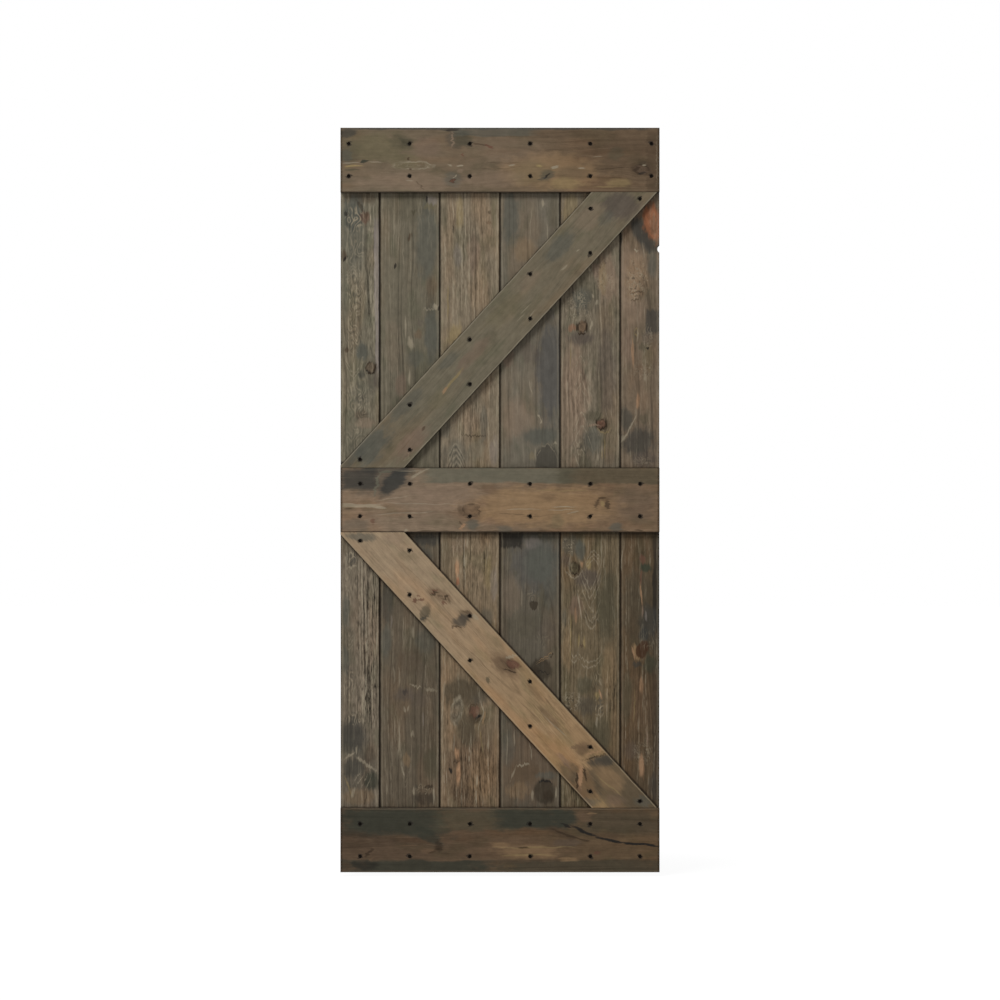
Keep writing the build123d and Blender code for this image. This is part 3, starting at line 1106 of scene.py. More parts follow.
    def _fourth(self) -> Board:
        """A smooth plank with blue-grey stain above and dark round knots below.

        Returns:
            The board with its marks.
        """
        marks = [
            *Stain.each(Tint.STEEL, (602, 700, 96, 340, 0.85), (560, 1250, 160, 190, 0.75)),
            # painted shadow of the middle rail across the top of the lower stretch
            Stain(545, 1178, 180, 34, Tint.BOG, 0.5),
            # Above the middle rail: slate head, steel right side, rose field, dark arch
            Stain(488, 255, 58, 180, Tint.SLATE, 0.75), Stain(530, 350, 70, 80, Tint.TAN, 0.3),
            Stain(610, 240, 40, 110, Tint.MOSS, 0.4), Stain(600, 700, 64, 260, Tint.STEEL, 0.8, 0, 0.8),
            Stain(505, 835, 100, 130, Tint.CLAY, 0.5), Stain(480, 660, 40, 60, Tint.ROSE, 0.4),
            Stain(575, 885, 120, 54, Tint.SLATE, 0.8, 0, 0.7),
            Stain(592, 955, 68, 92, Tint.SHADE, 0.9, 0, 0.3, 0.3), Stain(550, 940, 22, 28, Tint.HONEY, 0.2),
            Stain(545, 650, 60, 70, Tint.MAUVE, 0.4), Comb(490, 770, 60, 160, 0.4),
            Arch(592, 908, 72, 60, Tint.BONE, 0.26, 1, 14, 4),
            *Stroke.each(Tint.BONE, (579, 214, 10, 24, 0.55), (545, 270, 3, 100, 0.35),
                (593, 300, 4, 60, 0.4), (569, 830, 4, 38, 0.6, 27), (574, 842, 4, 24, 0.5, -20),
                (617, 905, 12, 8, 0.5), (560, 935, 6, 40, 0.45), (545, 745, 4, 50, 0.3, 12)),
            # Below it: black corner, a painted shadow of the middle rail, slate field, three dark discs
            Patch(488, 1182, 66, 46, Tint.SOOT, 0.8), Stain(550, 1190, 60, 44, Tint.LILAC, 0.4),
            *Stain.each(Tint.SLATE, (575, 1250, 110, 130, 0.85, 0, 0.8), (600, 1330, 50, 110, 0.45)),
            Stain(490, 1340, 66, 130, Tint.CLAY, 0.3), Stain(520, 1430, 110, 90, Tint.MOSS, 0.3),
            *Stain.each(Tint.BARK, (556, 1369, 24, 26, 0.95, 0, 0.3, 0.3),
                (574, 1553, 68, 66, 0.85, 0, 0.5, 0.4)),
            Stain(590, 1440, 60, 70, Tint.MAUVE, 0.3), Stain(560, 1560, 30, 30, Tint.PITCH, 0.4),
            Stain(530, 1850, 100, 70, Tint.DUN, 0.85, 0, 0.8), Stain(545, 1820, 200, 280, Tint.COCOA, 0.5),
            *Stain.each(Tint.SLATE, (590, 1858, 64, 26, 0.6), (480, 1780, 44, 120, 0.4)),
            Stain(584, 1905, 62, 76, Tint.BARK, 0.9, 0, 0.45, 0.35),
            Stain(596, 1915, 30, 40, Tint.PITCH, 0.5), Stain(510, 1900, 80, 50, Tint.TAN, 0.3),
            Curl(545, 1340, 36, 44, 0.25), Curl(580, 1470, 60, 60, 0.18), Comb(510, 1905, 90, 50, 0.9),
            Arch(588, 1873, 44, 9, Tint.SOOT, 0.95, 1, 14, 6),
            Stroke(583, 1563, 44, 4, Tint.SOOT, 0.8, -10),
            *Stroke.each(Tint.TAN, (587, 1516, 62, 3, 0.75, 35), (580, 1528, 48, 3, 0.55, 35)),
            Stroke(607, 1512, 22, 4, Tint.PITCH, 0.75, 50),
            *Stroke.each(Tint.BONE, (523, 1826, 42, 8, 0.55, 12), (495, 1852, 6, 46, 0.4, -20),
                (478, 1775, 4, 110, 0.4), (498, 1750, 4, 50, 0.4), (550, 1910, 8, 36, 0.5),
                (617, 1905, 5, 34, 0.65), (546, 1790, 4, 50, 0.45, 10), (520, 1350, 4, 60, 0.25)),
        ]
        grain = Grain(5.1, heart=50, line=0.3, streak=0.5, fibre=0.36, brushed=0.18)
        edges = Edges(seams=(0.45, 0.4))
        return Board("plank_4", Lay.UPRIGHT, Wood((105, 98, 85), (90, 83, 71)), grain, edges, marks)

    def _fifth(self) -> Board:
        """A plank with tall arches, two knots above, and loops and zigzags below.

        Returns:
            The board with its marks.
        """
        marks = [
            *Stain.each(Tint.CLAY, (765, 430, 70, 150, 0.8), (664, 770, 96, 380, 0.65)),
            Stain(765, 1350, 80, 220, Tint.MOSS, 0.4), Stain(690, 492, 90, 90, Tint.SHADE, 0.4),
            Stain(660, 1196, 66, 70, Tint.SLATE, 0.55),
            # Above the middle rail: ring knot, tan cathedral, grey right side, red knot
            Stain(660, 240, 50, 110, Tint.HONEY, 0.35), Stain(690, 490, 60, 70, Tint.SLATE, 0.6),
            Stain(742, 410, 50, 60, Tint.ROSE, 0.4), Stain(752, 430, 30, 100, Tint.HONEY, 0.35),
            Stain(665, 575, 28, 24, Tint.EMBER, 0.35), Stain(690, 603, 90, 44, Tint.MAUVE, 0.75, 0, 0.7),
            Stain(678, 750, 84, 230, Tint.CLAY, 0.5), Stain(764, 700, 60, 320, Tint.MAUVE, 0.5),
            *Stain.each(Tint.MOSS, (742, 760, 22, 130, 0.4), (725, 825, 64, 32, 0.55)),
            Stain(722, 895, 62, 84, Tint.SLATE, 0.65), Stain(770, 940, 50, 60, Tint.COCOA, 0.3),
            Curl(685, 915, 60, 66, 0.73), Scuff(760, 430, 70, 130, 0.5), Scuff(680, 510, 90, 110, 0.58),
            Comb(680, 760, 90, 230, 0.7),
            Knot(691, 570, 27, 35, Tint.COCOA, Tint.PITCH, 0.95, 0.1, 0.8, 0, 0.8, 0.25),
            Knot(750, 849, 27, 27, Tint.RUST, Tint.PITCH, 0.95, 0.3, 0.8, 0, 0.7, 0.5),
            *Arch.each(Tint.SAND, (689, 652, 40, 60, 0.75, 1, 14, 4, 1.3),
                (688, 705, 46, 64, 0.8, 2, 30, 4, 1.2)),
            Arch(692, 815, 62, 74, Tint.BONE, 0.42, 2, 34, 5, 1.2),
            Arch(757, 874, 44, -18, Tint.HONEY, 0.5, 1, 14, 4),
            *Stroke.each(Tint.PITCH, (678, 572, 6, 34, 0.9), (704, 572, 6, 32, 0.9), (691, 588, 26, 7, 0.9),
                (737, 850, 6, 26, 0.9), (763, 850, 6, 26, 0.9), (750, 863, 24, 7, 0.9)),
            Stroke(746, 846, 14, 16, Tint.RUST, 0.4),
            *Stroke.each(Tint.BONE, (718, 565, 10, 22, 0.55, -15), (680, 958, 5, 50, 0.5, 20),
                (796, 880, 4, 130, 0.45), (636, 670, 5, 110, 0.35), (735, 500, 12, 16, 0.6),
                (665, 515, 14, 10, 0.5), (715, 405, 11, 9, 0.5), (722, 480, 8, 14, 0.5)),
            Stroke(724, 852, 46, 7, Tint.CLAY, 0.75),
            *Stroke.each(Tint.HONEY, (757, 915, 5, 64, 0.5), (749, 932, 4, 40, 0.4),
                (660, 650, 4, 90, 0.45)),
            # Below it: slate oval, loops round a ring knot, nested points, green oval
            Stain(688, 1212, 36, 60, Tint.SLATE, 0.75, 0, 0.6),
            *Stain.each(Tint.MAUVE, (645, 1240, 34, 44, 0.5), (708, 1295, 80, 66, 0.7)),
            Stain(675, 1372, 44, 70, Tint.ROSE, 0.5), Stain(764, 1380, 64, 240, Tint.MOSS, 0.65),
            Stain(712, 1252, 16, 36, Tint.HONEY, 0.55),
            *Stain.each(Tint.TAN, (650, 1500, 40, 130, 0.3), (772, 1560, 50, 180, 0.3)),
            Stain(700, 1600, 54, 60, Tint.MOSS, 0.75, 0, 0.6),
            *Stain.each(Tint.INK, (706, 1655, 66, 66, 0.5), (666, 1866, 24, 44, 0.5)),
            Stain(745, 1740, 80, 110, Tint.MOSS, 0.6), Stain(640, 1400, 20, 60, Tint.SLATE, 0.4),
            Scuff(652, 1200, 44, 54, 0.92), Scuff(662, 1645, 66, 60, 0.68), Curl(735, 1585, 34, 64, 0.54),
            Curl(740, 1662, 32, 76, 0.88), Curl(715, 1405, 60, 60, 0.49), Curl(700, 1330, 100, 60, 0.34),
            Comb(780, 1610, 44, 170, 0.9), Comb(648, 1480, 36, 200, 0.7), Comb(680, 1910, 90, 80, 0.7),
            Knot(670, 1263, 28, 33, Tint.OLIVE, Tint.PITCH, 0.9, 0.15, 0.8, 0, 0.6, 0.3),
            *Arch.each(Tint.BONE, (725, 1213, 52, 52, 0.36, 3, 13, 4), (668, 1293, 54, -28, 0.4, 1, 14, 4),
                (716, 1376, 66, -84, 0.34, 3, 26, 5, 1.2), (719, 1441, 54, -64, 0.34, 2, 22, 5, 1.3),
                (671, 1536, 42, -84, 0.36, 2, 16, 5), (715, 1549, 66, -30, 0.34, 2, 16, 4)),
            *Stroke.each(Tint.PITCH, (657, 1265, 6, 30, 0.85), (684, 1265, 6, 28, 0.85),
                (670, 1280, 24, 6, 0.85)),
            Stroke(692, 1250, 10, 18, Tint.PEACH, 0.6),
            *Stroke.each(Tint.BONE, (747, 1220, 4, 84, 0.45), (760, 1200, 3, 60, 0.35),
                (685, 1370, 6, 84, 0.55, 8), (735, 1705, 6, 42, 0.5), (795, 1380, 4, 130, 0.35)),
            Stroke(673, 1400, 7, 54, Tint.PEACH, 0.55),
            *Stroke.each(Tint.HONEY, (685, 1470, 6, 40, 0.65), (700, 1475, 10, 32, 0.65),
                (735, 1628, 16, 22, 0.65), (660, 1460, 5, 150, 0.5)),
            Stroke(694, 1486, 14, 10, Tint.UMBER, 0.6), Stroke(743, 1622, 8, 32, Tint.PEACH, 0.65, 20),
        ]
        grain = Grain(6.4, heart=-18, depth=10, lean=18, streak=1.05, fibre=1.25)
        edges = Edges(seams=(0.4, 0.45))
        return Board("plank_5", Lay.UPRIGHT, Wood((112, 102, 86), (101, 88, 68)), grain, edges, marks)

    def _right(self) -> Board:
        """The narrow right plank: a big orange knot at its edge, and dark below.

        Returns:
            The board with its marks.
        """
        marks = [
            *Stain.each(Tint.CLAY, (835, 430, 100, 190, 0.8), (842, 524, 70, 90, 0.5)),
            Stain(870, 305, 50, 160, Tint.SHADE, 0.8, 38), Stain(860, 1400, 120, 330, Tint.BOG, 0.4),
            Patch(905, 1600, 22, 720, Tint.SOOT, 0.45),
            # Above the middle rail: orange knot, tan field, slate wedges
            Stain(850, 430, 80, 150, Tint.TAN, 0.35),
            *Stain.each(Tint.INK, (862, 300, 60, 120, 0.7, 35), (885, 340, 60, 40, 0.65)),
            Stain(893, 390, 36, 90, Tint.SLATE, 0.6), Patch(895, 555, 42, 70, Tint.INK, 0.75),
            Stain(822, 620, 40, 120, Tint.ROSE, 0.35), Stain(882, 660, 40, 80, Tint.OLIVE, 0.4),
            Stain(866, 628, 24, 28, Tint.MOSS, 0.6), Stain(868, 690, 40, 30, Tint.COCOA, 0.4),
            Stain(820, 835, 40, 76, Tint.SHADE, 0.85), Stain(868, 832, 30, 34, Tint.MOSS, 0.5),
            Stain(855, 900, 116, 96, Tint.INK, 0.75),
            *Stain.each(Tint.MAUVE, (872, 950, 84, 54, 0.6), (880, 600, 40, 40, 0.4)),
            Scuff(850, 440, 76, 150, 0.75), Scuff(885, 600, 44, 70, 0.5), Scuff(870, 690, 70, 80, 0.41),
            Scuff(875, 955, 70, 40, 0.41), Comb(858, 430, 50, 110, 0.6),
            Knot(896, 272, 52, 118, Tint.AMBER, Tint.UMBER, 0.4, 0.25, 0.6, 8, 0.85, 0.0),
            Arch(849, 572, 14, 20, Tint.HONEY, 0.6, 1, 14, 4), Stroke(898, 280, 22, 60, Tint.COCOA, 0.55),
            Stroke(878, 262, 9, 80, Tint.AMBER, 0.6),
            *Stroke.each(Tint.SOOT, (910, 341, 8, 9, 0.95), (880, 630, 6, 8, 0.9), (806, 324, 7, 60, 0.8)),
            Stroke(845, 350, 13, 7, Tint.BONE, 0.7),
            *Stroke.each(Tint.UMBER, (852, 470, 42, 6, 0.7, 8), (846, 492, 28, 6, 0.7, -6),
                (866, 480, 5, 24, 0.6)),
            *Stroke.each(Tint.PEACH, (839, 640, 8, 96, 0.5), (853, 786, 14, 48, 0.65)),
            *Stroke.each(Tint.BONE, (827, 862, 6, 104, 0.5, -28), (812, 886, 16, 24, 0.4, -30)),
            Stroke(849, 592, 8, 8, Tint.HONEY, 0.5),
            # Below it: black right edge, wavy pink line, dark red knot, peach flecks
            Patch(906, 1310, 22, 320, Tint.SOOT, 0.65), Stain(877, 1262, 38, 26, Tint.FERN, 0.85),
            Stain(866, 1238, 18, 28, Tint.RUST, 0.65),
            *Stain.each(Tint.INK, (884, 1420, 56, 120, 0.65), (870, 1455, 34, 44, 0.7)),
            Stain(850, 1506, 20, 60, Tint.TAN, 0.75, 20),
            Stain(866, 1496, 34, 52, Tint.CHESTNUT, 0.95, -20, 0.25, 0.25),
            Stain(889, 1538, 48, 66, Tint.FERN, 0.65), Stain(852, 1538, 34, 20, Tint.INK, 0.6),
            Stain(820, 1630, 38, 170, Tint.MOSS, 0.55), Stain(868, 1650, 76, 180, Tint.COCOA, 0.4),
            Stain(832, 1785, 50, 60, Tint.MAUVE, 0.35), Stain(900, 1620, 20, 260, Tint.UMBER, 0.4),
            Stain(898, 1890, 34, 80, Tint.INK, 0.45), Curl(882, 1470, 50, 60, 0.25),
            Scuff(870, 1790, 70, 90, 0.41), Comb(870, 1690, 80, 300, 0.4),
            Stroke(863, 1290, 8, 44, Tint.RUST, 0.6),
            *Stroke.each(Tint.PEACH, (862, 1332, 6, 64, 0.6, 4), (862, 1600, 13, 52, 0.45),
                (863, 1833, 18, 72, 0.65), (840, 1505, 6, 44, 0.6, 15)),
            *Stroke.each(Tint.ROSE, (866, 1382, 6, 44, 0.5), (878, 1750, 5, 70, 0.45)),
            Stroke(875, 1400, 7, 32, Tint.LILAC, 0.5), Stroke(806, 1240, 4, 60, Tint.BONE, 0.6),
            Stroke(843, 1660, 4, 120, Tint.HONEY, 0.35),
        ]
        grain = Grain(7.7, heart=12, streak=1.0, fibre=0.85)
        edges = Edges(seams=(0.4, 0.0))
        return Board("right_plank", Lay.UPRIGHT, Wood((108, 94, 78), (85, 71, 54)), grain, edges, marks)


class Rails(Boards):
    """The three rails."""

    def boards(self) -> list[Board]:
        """The rails, from the top."""
        return [self._top(), self._middle(), self._bottom()]

    def _top(self) -> Board:
        """Olive at the left, tan in the middle, brown at the right.

        Returns:
            The board with its marks.
        """
        marks = [
            Stain(600, 125, 320, 120, Tint.TAN, 0.55), Stain(662, 132, 100, 44, Tint.DUN, 0.4),
            Stain(470, 70, 260, 90, Tint.CLAY, 0.25),
            *Stain.each(Tint.SHADE, (335, 30, 80, 70, 0.55), (594, 136, 46, 36, 0.75)),
            Stain(866, 118, 54, 36, Tint.MAUVE, 0.6), Stain(190, 45, 50, 40, Tint.BOG, 0.45),
            Stain(90, 50, 220, 110, Tint.OLIVE, 0.4), Patch(457, 1, 930, 10, Tint.INK, 0.75),
            Stain(22, 14, 60, 32, Tint.INK, 0.75), Stain(30, 70, 80, 80, Tint.MOSS, 0.6),
            Stain(110, 60, 180, 90, Tint.OLIVE, 0.6), Stain(170, 40, 70, 50, Tint.MOSS, 0.5),
            Stain(180, 95, 110, 50, Tint.OLIVE, 0.55), Stain(250, 55, 90, 70, Tint.ROSE, 0.3),
            Stain(200, 155, 360, 56, Tint.CLAY, 0.5), Stain(352, 30, 64, 64, Tint.MOSS, 0.65),
            Patch(440, 12, 240, 26, Tint.SLATE, 0.6),
            *Stain.each(Tint.SLATE, (321, 148, 60, 50, 0.5), (18, 80, 34, 50, 0.5)),
            Stain(440, 145, 180, 60, Tint.CLAY, 0.4), Stain(550, 130, 140, 80, Tint.OLIVE, 0.35),
            Stain(645, 160, 100, 40, Tint.HONEY, 0.4), Stain(800, 60, 240, 110, Tint.UMBER, 0.3),
            Stain(790, 75, 50, 44, Tint.MOSS, 0.5), Stain(795, 158, 80, 26, Tint.HONEY, 0.4),
            Patch(893, 100, 34, 190, Tint.UMBER, 0.45), Stain(650, 20, 240, 30, Tint.UMBER, 0.3),
            Knot(206, 108, 116, 24, Tint.OLIVE, Tint.BONE, 0.5, 0.0, 0.2, 0, 0.3, 0.0),
            Knot(321, 152, 15, 13, Tint.RUST, Tint.PITCH, 0.7, 0.2, 0.6, 0, 0.8, 0.4),
            Knot(864, 120, 46, 30, Tint.COCOA, Tint.PITCH, 0.6, 0.25, 0.6, 0, 0.4, 0.0),
            Arch(150, 108, 10, 2, Tint.BONE, 0.21),
            *Stroke.each(Tint.HONEY, (34, 110, 56, 8, 0.8), (570, 111, 25, 8, 0.8, -8)),
            *Stroke.each(Tint.MOSS, (30, 121, 50, 7, 0.7), (182, 40, 14, 40, 0.85, 50)),
            *Stroke.each(Tint.BONE, (34, 100, 60, 4, 0.5), (100, 100, 46, 4, 0.45), (200, 152, 26, 4, 0.4),
                (343, 108, 19, 7, 0.7), (313, 107, 20, 5, 0.45, -20), (490, 107, 26, 5, 0.6),
                (614, 114, 25, 9, 0.75, 12), (688, 115, 25, 5, 0.65), (327, 140, 14, 4, 0.65, 45)),
            Stroke(67, 97, 24, 14, Tint.BOG, 0.95),
            *Stroke.each(Tint.UMBER, (196, 91, 10, 9, 0.8), (200, 119, 10, 8, 0.85),
                (228, 164, 40, 4, 0.5, -48)),
            Stroke(321, 34, 7, 56, Tint.CLAY, 0.6),
            *Stroke.each(Tint.SOOT, (324, 5, 44, 12, 0.8), (593, 138, 24, 7, 0.85, 45)),
            Stroke(426, 54, 26, 11, Tint.RUST, 0.8, -20), Stroke(400, 48, 40, 5, Tint.UMBER, 0.6, -12),
            Stroke(350, 77, 9, 12, Tint.RUST, 0.6), Stroke(580, 146, 26, 14, Tint.INK, 0.5, 30),
            *Stroke.each(Tint.UMBER, (460, 101, 130, 3, 0.4), (450, 116, 150, 3, 0.35, 2)),
            *Stroke.each(Tint.PITCH, (780, 116, 120, 3, 0.5, 2), (850, 118, 16, 14, 0.6)),
            Stroke(770, 170, 110, 4, Tint.HONEY, 0.45), Stroke(738, 83, 34, 3, Tint.BONE, 0.4),
            Stroke(862, 131, 26, 8, Tint.SOOT, 0.7, 10),
            *Stroke.each(Tint.BONE, (870, 108, 14, 6, 0.6), (907, 92, 3, 170, 0.3)),
            Stroke(342, 125, 20, 16, Tint.CLAY, 0.4),
        ]
        wood = Wood((106, 93, 76), (99, 82, 64), 0.35, (140, 128, 108))
        grain = Grain(8.2, line=0.22, streak=0.28, fibre=0.36, mottle=0.55, late=0.12, brushed=0.06)
        edges = Edges(wear_and_highlight=0.08, ends=0.55, painted_shadow_below=(6.0, 0.55))
        return Board("top_rail", Lay.LEVEL, wood, grain, edges, marks)

    def _middle(self) -> Board:
        """Rose and tan, with a slate left end and a grey-green band along its upper edge.

        Returns:
            The board with its marks.
        """
        marks = [
            *Stain.each(Tint.INK, (80, 1010, 260, 90, 0.55), (172, 992, 84, 30, 0.7, 12)),
            Stain(214, 1042, 90, 26, Tint.CLAY, 0.5), Stain(756, 1072, 54, 44, Tint.UMBER, 0.7),
            Stain(600, 1085, 440, 130, Tint.TAN, 0.5), Stain(280, 1062, 280, 90, Tint.CLAY, 0.65),
            Stain(560, 1085, 460, 120, Tint.TAN, 0.55),
            Patch(455, 996, 430, 44, Tint.SAGE, 0.85, 0, 0.35, 0.3),
            Patch(770, 997, 300, 48, Tint.MOSS, 0.7, 0, 0.35, 0.3),
            Patch(54, 1006, 112, 64, Tint.INK, 0.75, 0, 0.5, 0.5),
            Stain(153, 1014, 48, 118, Tint.INK, 0.9, -42, 0.5, 0.5),
            Patch(130, 982, 130, 16, Tint.INK, 0.6), Stain(428, 1036, 56, 34, Tint.COCOA, 0.55),
            Stain(378, 1138, 38, 36, Tint.SLATE, 0.65), Stain(845, 1080, 130, 120, Tint.MAUVE, 0.25),
            *Stain.each(Tint.SLATE, (790, 1148, 44, 34, 0.7), (40, 1138, 100, 44, 0.4)),
            Stain(343, 1096, 20, 34, Tint.UMBER, 0.5), Stain(620, 1125, 40, 50, Tint.OLIVE, 0.4),
            *Stain.each(Tint.COCOA, (595, 1058, 50, 26, 0.35), (770, 1040, 30, 40, 0.5)),
            Patch(457, 1158, 930, 6, Tint.PITCH, 0.6), Stain(470, 1150, 50, 24, Tint.SLATE, 0.5),
            Patch(60, 1082, 122, 10, Tint.BONE, 0.6, 0, 0.5, 0.5),
            Knot(374, 1095, 50, 44, Tint.COCOA, Tint.UMBER, 0.55, 0.2, 0.8, 0, 0.4, 0.2),
            *Stroke.each(Tint.UMBER, (352, 1096, 6, 36, 0.65), (397, 1096, 6, 36, 0.65),
                (374, 1077, 36, 5, 0.6), (374, 1115, 36, 5, 0.6)),
            Stroke(112, 1088, 40, 7, Tint.BONE, 0.65, -6),
            *Stroke.each(Tint.SAGE, (104, 1020, 9, 84, 0.8, -10), (130, 986, 50, 8, 0.7, 8)),
            *Stroke.each(Tint.BONE, (228, 990, 70, 8, 0.55, 30), (200, 983, 110, 3, 0.45),
                (235, 1077, 240, 3, 0.4, -1)),
            Stroke(22, 1091, 28, 4, Tint.UMBER, 0.65),
            *Stroke.each(Tint.BONE, (190, 1104, 210, 4, 0.4, 3), (150, 1062, 120, 4, 0.3, 8),
                (189, 1153, 13, 7, 0.55, 30)),
            Stroke(348, 1142, 11, 22, Tint.PEACH, 0.65, -20),
            *Stroke.each(Tint.UMBER, (342, 1130, 8, 12, 0.6), (737, 1077, 13, 36, 0.7, -20),
                (766, 1079, 17, 28, 0.8)),
            Stroke(93, 1128, 13, 20, Tint.RUST, 0.6, 10),
            *Stroke.each(Tint.PITCH, (752, 1061, 30, 8, 0.55, 10), (855, 1153, 28, 5, 0.7, -4)),
            Stroke(752, 1078, 12, 16, Tint.HONEY, 0.5),
            *Stroke.each(Tint.BONE, (640, 1085, 86, 3, 0.6), (630, 1094, 96, 3, 0.6),
                (520, 1093, 130, 3, 0.4), (666, 1102, 30, 6, 0.45, 20)),
            *Stroke.each(Tint.UMBER, (490, 1107, 100, 3, 0.5, -4), (560, 1113, 80, 3, 0.4)),
            Stroke(640, 1040, 200, 4, Tint.HONEY, 0.35),
        ]
        wood = Wood((122, 105, 87), (112, 92, 72), 0.3, (148, 134, 112))
        grain = Grain(9.6, line=0.35, streak=0.5, fibre=0.65, mottle=0.6, late=0.15, brushed=0.08)
        edges = Edges(wear_and_highlight=0.06, ends=0.6, painted_shadow_below=(11.0, 0.6))
        return Board("middle_rail", Lay.LEVEL, wood, grain, edges, marks)

    def _bottom(self) -> Board:
        """Rose-brown between dark upper and lower bands, with a long split at the right.

        Returns:
            The board with its marks.
        """
        marks = [
            Patch(150, 1990, 340, 90, Tint.BOG, 0.95, 0, 0.8, 0.55),
            Patch(395, 1984, 260, 66, Tint.MOSS, 0.7, 0, 0.8, 0.55),
            Patch(540, 1980, 210, 66, Tint.BOG, 0.95, 0, 0.8, 0.55),
            Stain(640, 1980, 88, 66, Tint.BOG, 0.95),
            *Patch.each(Tint.BOG, (795, 1988, 260, 80, 0.45, 0, 0.8, 0.6),
                (230, 2116, 490, 40, 0.9, 0, 0.8, 0.55), (690, 2116, 470, 38, 0.6, 0, 0.8)),
            Stain(70, 2114, 90, 34, Tint.SOOT, 0.5), Stain(255, 2030, 96, 36, Tint.BOG, 0.8, -30),
            Stain(40, 2040, 90, 60, Tint.UMBER, 0.5), Stain(520, 2070, 280, 80, Tint.COCOA, 0.5),
            *Stain.each(Tint.TAN, (540, 2074, 200, 44, 0.45), (460, 2056, 60, 20, 0.5)),
            Stain(650, 2050, 90, 30, Tint.MAUVE, 0.35), Stain(655, 2096, 60, 14, Tint.TAN, 0.5),
            Stain(640, 2024, 110, 26, Tint.UMBER, 0.6, -22),
            *Stain.each(Tint.COCOA, (700, 1970, 50, 40, 0.6), (250, 2072, 50, 18, 0.7)),
            Stain(760, 2030, 120, 24, Tint.UMBER, 0.4),
            *Stroke.each(Tint.PITCH, (282, 2058, 22, 42, 0.6, 12), (268, 2072, 40, 8, 0.5, 20),
                (82, 2078, 36, 11, 0.6, 45)),
            *Stroke.each(Tint.COCOA, (90, 2094, 24, 6, 0.6, 40), (190, 2058, 130, 4, 0.5, 2),
                (380, 2020, 120, 4, 0.5)),
            *Stroke.each(Tint.HONEY, (560, 2062, 250, 5, 0.4), (540, 2084, 170, 6, 0.4)),
            Stroke(525, 2062, 42, 6, Tint.PITCH, 0.75, -5),
            *Stroke.each(Tint.SOOT, (648, 2000, 34, 10, 0.9, -25), (700, 2016, 96, 11, 1.0, -24, 0.3),
                (768, 2040, 90, 9, 1.0, -13, 0.3), (852, 2053, 150, 8, 1.0, -5, 0.3)),
            *Stroke.each(Tint.PITCH, (650, 2027, 110, 8, 0.6, -22), (696, 2041, 44, 7, 0.65, -8)),
            Stroke(735, 2078, 22, 10, Tint.RUST, 0.65), Stroke(720, 1964, 30, 5, Tint.TAN, 0.5),
            Stroke(330, 2098, 200, 5, Tint.COCOA, 0.5),
        ]
        wood = Wood((88, 72, 57), (92, 75, 56), 0.35, (118, 106, 88))
        grain = Grain(10.8, line=0.4, streak=0.55, fibre=0.45, mottle=0.6, late=0.2, brushed=0.08)
        edges = Edges(wear_and_highlight=0.5, inset=1.6, width=1.8, ends=0.55)
        return Board("bottom_rail", Lay.LEVEL, wood, grain, edges, marks)


